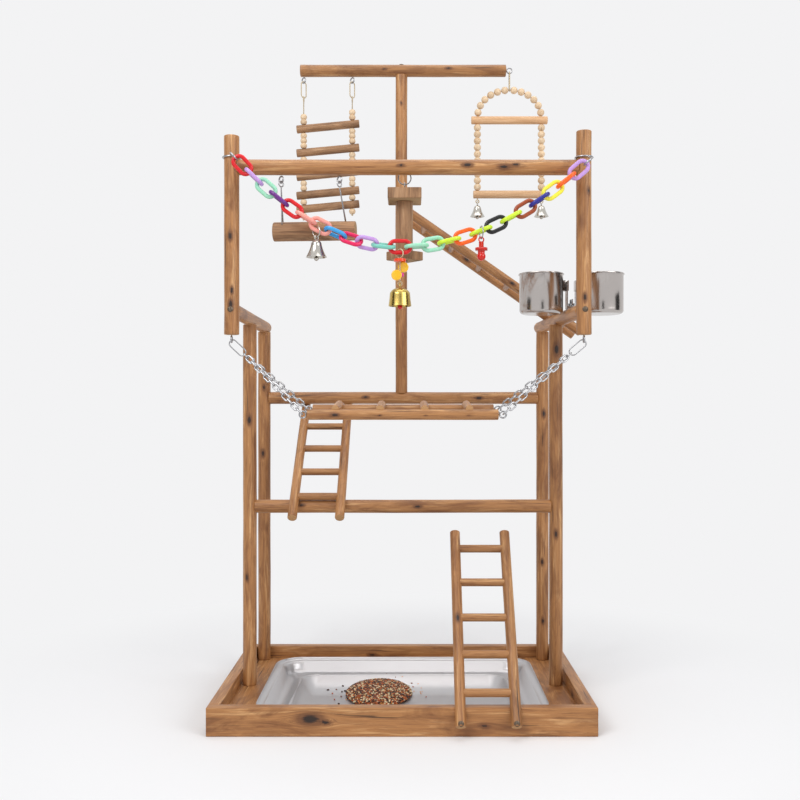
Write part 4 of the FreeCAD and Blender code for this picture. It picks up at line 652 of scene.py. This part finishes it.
def dress_timber():
    for seed, node in enumerate(FRAME_STICKS):
        wobble = SLIM_WOBBLE if node.startswith("front_ladder") else 1.0
        stick_piece(node, [VARNISHED, VARNISHED_END], seed + 1, wobble, FRAME_KNOTS.get(node))
    for seed, node in enumerate(("bridge_rails", "bridge_rungs")):
        stick_piece(node, [VARNISHED, VARNISHED_END], seed + 41, SLIM_WOBBLE, FRAME_KNOTS.get(node))
    stick_piece("arch_perches", [DOWEL, DOWEL_END], 51, DOWEL_WOBBLE)
    for seed, node in enumerate(("bead_ladder_rungs", "swing_dowels")):
        stick_piece(node, [WEATHERED, WEATHERED_END], seed + 53, OFFCUT_WOBBLE)
    dress_wood("toy_blocks", [WEATHERED, WEATHERED_END], 55)
    dress_wood("bead_ladder_beads", [BEAD], 56)
    dress_wood("arch_beads", [BEAD], 57)
    board_piece("tray_front_board", 80, knots=((0.266, 0.62, 8.0), (0.305, 0.5, 3.4), (0.71, 0.35, 3.0)))
    board_piece("tray_back_board", 81, knots=((0.4, 0.6, 4.0), (0.85, 0.5, 5.0)))
    board_piece("tray_left_board", 82, knots=((0.6, 0.4, 4.0),))
    board_piece("tray_right_board", 83, knots=((0.3, 0.6, 5.0),))
    board_piece("tray_floor", 84)
    dress_deck()


# ---------------------------------------------------------------- plastic chain
def dress_chain():
    bm = merged_copy("chain_links")
    names = list(LINK_PLASTICS)
    for colour, faces in zip(LINK_ORDER, islands(bm)):
        for face in faces:
            face.material_index = names.index(colour)
    finish_piece(bm, "chain_links_moulded", "chain",
                 [LINK_PLASTICS[name] for name in names], ("chain_links",))


def dress_charms():
    """The orange disc on top, the two yellow charms and the small magenta bit."""
    bm = merged_copy("charm_pieces")
    groups = islands(bm)
    spans = [corners(faces) for faces in groups]
    top = max(range(len(groups)), key=lambda index: spans[index][:, 2].max())
    least = min(range(len(groups)), key=lambda index: np.ptp(spans[index][:, 0]))
    for index, faces in enumerate(groups):
        for face in faces:
            face.material_index = {top: 0, least: 2}.get(index, 1)
    finish_piece(bm, "charm_pieces_moulded", "centre_charm",
                 [ORANGE_RED, YELLOW_ACRYLIC, MAGENTA_BIT], ("charm_pieces",))


# ---------------------------------------------------------------- seed heap
def dress_seeds():
    """A mound of separate seeds in place of the heap, with a few strays round it."""
    low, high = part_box("seed_heap")
    low, high = Vector(low), Vector(high)
    centre = (low + high) / 2
    half = (high - low) / 2
    height = high.z - low.z
    chance = random.Random(7)
    bm = merged_copy("seed_heap")
    for face in bm.faces:
        face.material_index = BROWN_SEED
    bmesh.ops.scale(bm, vec=HEAP_CORE, space=Matrix.Translation((-centre.x, -centre.y, -low.z)),
                    verts=bm.verts)
    handful = bmesh.new()
    for number in range(SEED_COUNT + STRAY_SEEDS):
        if number % HANDFUL == 0:
            pour(handful, bm)
            handful = bmesh.new()
        angle = chance.uniform(0, 2 * math.pi)
        stray = number >= SEED_COUNT
        share = chance.uniform(1.02, 1.6) if stray else math.sqrt(chance.random()) * 0.985
        x = centre.x + half.x * share * math.cos(angle)
        y = centre.y + half.y * share * math.sin(angle)
        level = 0.0 if stray else height * math.sqrt(max(0.0, 1 - share ** 2)) * 0.9
        kind = chance.choices(range(len(SEEDS)), SEED_SHARES)[0]
        size = SEED_SIZES[kind] * chance.uniform(0.85, 1.15) * MM
        jumble = chance.uniform(-0.2, 0.5) * MM * (not stray)
        place = Vector((x, y, low.z + max(level, LYING_HEIGHT) + jumble))
        turn = Matrix.Rotation(chance.uniform(0, math.pi), 4, "Z")
        spin = turn @ Matrix.Rotation(chance.uniform(-SEED_LEAN, SEED_LEAN), 4, "X")
        shape = Matrix.Diagonal((size, size * SEED_WIDTH, size * SEED_FLATNESS, 1))
        matrix = Matrix.Translation(place) @ spin @ shape
        made = bmesh.ops.create_icosphere(handful, subdivisions=1, radius=0.5, matrix=matrix)
        for face in {face for vert in made["verts"] for face in vert.link_faces}:
            face.material_index = kind
    pour(handful, bm)
    finish_piece(bm, "seed_mix", "pan", SEEDS, ("seed_heap",), 80)


# ---------------------------------------------------------------- stage
def area_light(name, place, target, size, power):
    lamp = bpy.data.lights.new(name, "AREA")
    lamp.shape = "SQUARE"
    lamp.size = size
    lamp.energy = power
    holder = bpy.data.objects.new(name, lamp)
    holder.location = place
    holder.rotation_euler = (Vector(target) - Vector(place)).to_track_quat("-Z", "Y").to_euler()
    bpy.context.scene.collection.objects.link(holder)


def reflection_card(name, place, target, width, height):
    """A dark card out of view: it puts the soft dark bands into the steel and brass."""
    bm = bmesh.new()
    bmesh.ops.create_grid(bm, x_segments=1, y_segments=1, size=0.5)
    bmesh.ops.scale(bm, vec=(width, height, 1), verts=bm.verts)
    turn = (Vector(target) - Vector(place)).to_track_quat("Z", "Y").to_matrix().to_4x4()
    bmesh.ops.transform(bm, matrix=Matrix.Translation(place) @ turn, verts=bm.verts)
    mesh = bpy.data.meshes.new(name)
    bm.to_mesh(mesh)
    bm.free()
    material, _, _ = new_material(name, {"Base Color": linear("#141414"), "Roughness": 1.0})
    mesh.materials.append(material)
    card = bpy.data.objects.new(name, mesh)
    bpy.context.scene.collection.objects.link(card)
    card.visible_camera = False
    card.visible_shadow = False
    card.visible_diffuse = False


def make_stage():
    scene = bpy.context.scene
    scene.view_settings.view_transform = "Standard"
    world = bpy.data.worlds.new("studio")
    scene.world = world
    world.use_nodes = True
    tree = world.node_tree
    tree.nodes.clear()
    path = add(tree, "ShaderNodeLightPath")
    seen = add(tree, "ShaderNodeMath", {"operation": "MAXIMUM"},
               links={0: (path, "Is Camera Ray"), 1: (path, "Is Glossy Ray")})
    seen_more = add(tree, "ShaderNodeMath", {"operation": "MAXIMUM"},
                    links={0: (seen, "Value"), 1: (path, "Is Transmission Ray")})
    soft = add(tree, "ShaderNodeBackground",
               sockets={"Color": linear("#F4F5F7"), "Strength": SOFT_LIGHT})
    white = add(tree, "ShaderNodeBackground", sockets={"Color": linear("#F3F3F4"), "Strength": 1.0})
    mixed = add(tree, "ShaderNodeMixShader", links={"Fac": (seen_more, "Value"), 1: (soft, "Background"),
                                                    2: (white, "Background")})
    add(tree, "ShaderNodeOutputWorld", links={"Surface": (mixed, "Shader")})

    bm = bmesh.new()
    bmesh.ops.create_grid(bm, x_segments=1, y_segments=1, size=30.0)
    mesh = bpy.data.meshes.new("floor")
    bm.to_mesh(mesh)
    bm.free()
    floor = bpy.data.objects.new("floor", mesh)
    scene.collection.objects.link(floor)
    material = bpy.data.materials.new("studio_floor")
    material.use_nodes = True
    tree = material.node_tree
    tree.nodes.clear()
    place = add(tree, "ShaderNodeTexCoord")
    away = add(tree, "ShaderNodeVectorMath", {"operation": "LENGTH"}, links={0: (place, "Object")})
    fade = add(tree, "ShaderNodeMapRange", {"interpolation_type": "SMOOTHSTEP"},
               {"From Min": 0.32, "From Max": 0.75}, {"Value": (away, "Value")})
    lit = add(tree, "ShaderNodeBsdfDiffuse", sockets={"Color": linear("#F1F1F2")})
    plain = add(tree, "ShaderNodeEmission", sockets={"Color": linear("#F3F3F4"), "Strength": 1.0})
    mixed = add(tree, "ShaderNodeMixShader",
                links={"Fac": (fade, "Result"), 1: (lit, "BSDF"), 2: (plain, "Emission")})
    add(tree, "ShaderNodeOutputMaterial", links={"Surface": (mixed, "Shader")})
    mesh.materials.append(material)

    for name, place, target, size, power in LIGHTS:
        area_light(name, place, target, size, power)
    for name, place, width in CARDS:
        reflection_card(name, place, CARD_TARGET, width, CARD_HEIGHT)

    camera = bpy.data.cameras.new("camera")
    camera.sensor_width = SENSOR_WIDTH
    camera.lens = SENSOR_WIDTH * FOCAL_PIXELS / FRAME_PIXELS
    camera.shift_x = -(VANISHING_POINT[0] - FRAME_PIXELS / 2) / FRAME_PIXELS
    camera.shift_y = (VANISHING_POINT[1] - FRAME_PIXELS / 2) / FRAME_PIXELS
    holder = bpy.data.objects.new("camera", camera)
    holder.location = CAMERA_PLACE
    holder.rotation_euler = (math.radians(90), 0, 0)
    scene.collection.objects.link(holder)
    scene.camera = holder


# ---------------------------------------------------------------- whole stand
METAL_NODES = {
    "seed_pan": PAN_STEEL, "cup_left": CUP_STEEL, "cup_right": CUP_STEEL, "cup_bracket": ZINC,
    "frame_screws": DULL_ZINC, "screw_eyes": ZINC, "chain_ties": ZINC, "bridge_chains": ZINC,
    "toy_hanger": ZINC,
    "swing_hangers": ZINC, "red_charm_ring": ZINC, "arch_bell_left": NICKEL, "arch_bell_right": NICKEL,
    "arch_clapper_left": NICKEL, "arch_clapper_right": NICKEL, "chain_bell": NICKEL, "chain_clapper": NICKEL,
    "brass_bell": BRASS, "brass_clapper": RED_ACRYLIC, "red_charm": RED_ACRYLIC,
    "bead_ladder_cords": CORD, "arch_cord": CORD, "charm_cord": CORD,
}


def main():
    # without this, Blender seeds its noise vectors from the clock and the sticks bend otherwise each run
    noise.seed_set(BEND_SEED)
    make_stage()
    dress_timber()
    dress_chain()
    dress_charms()
    dress_seeds()
    for node, material in METAL_NODES.items():
        dress(node, material)


main()
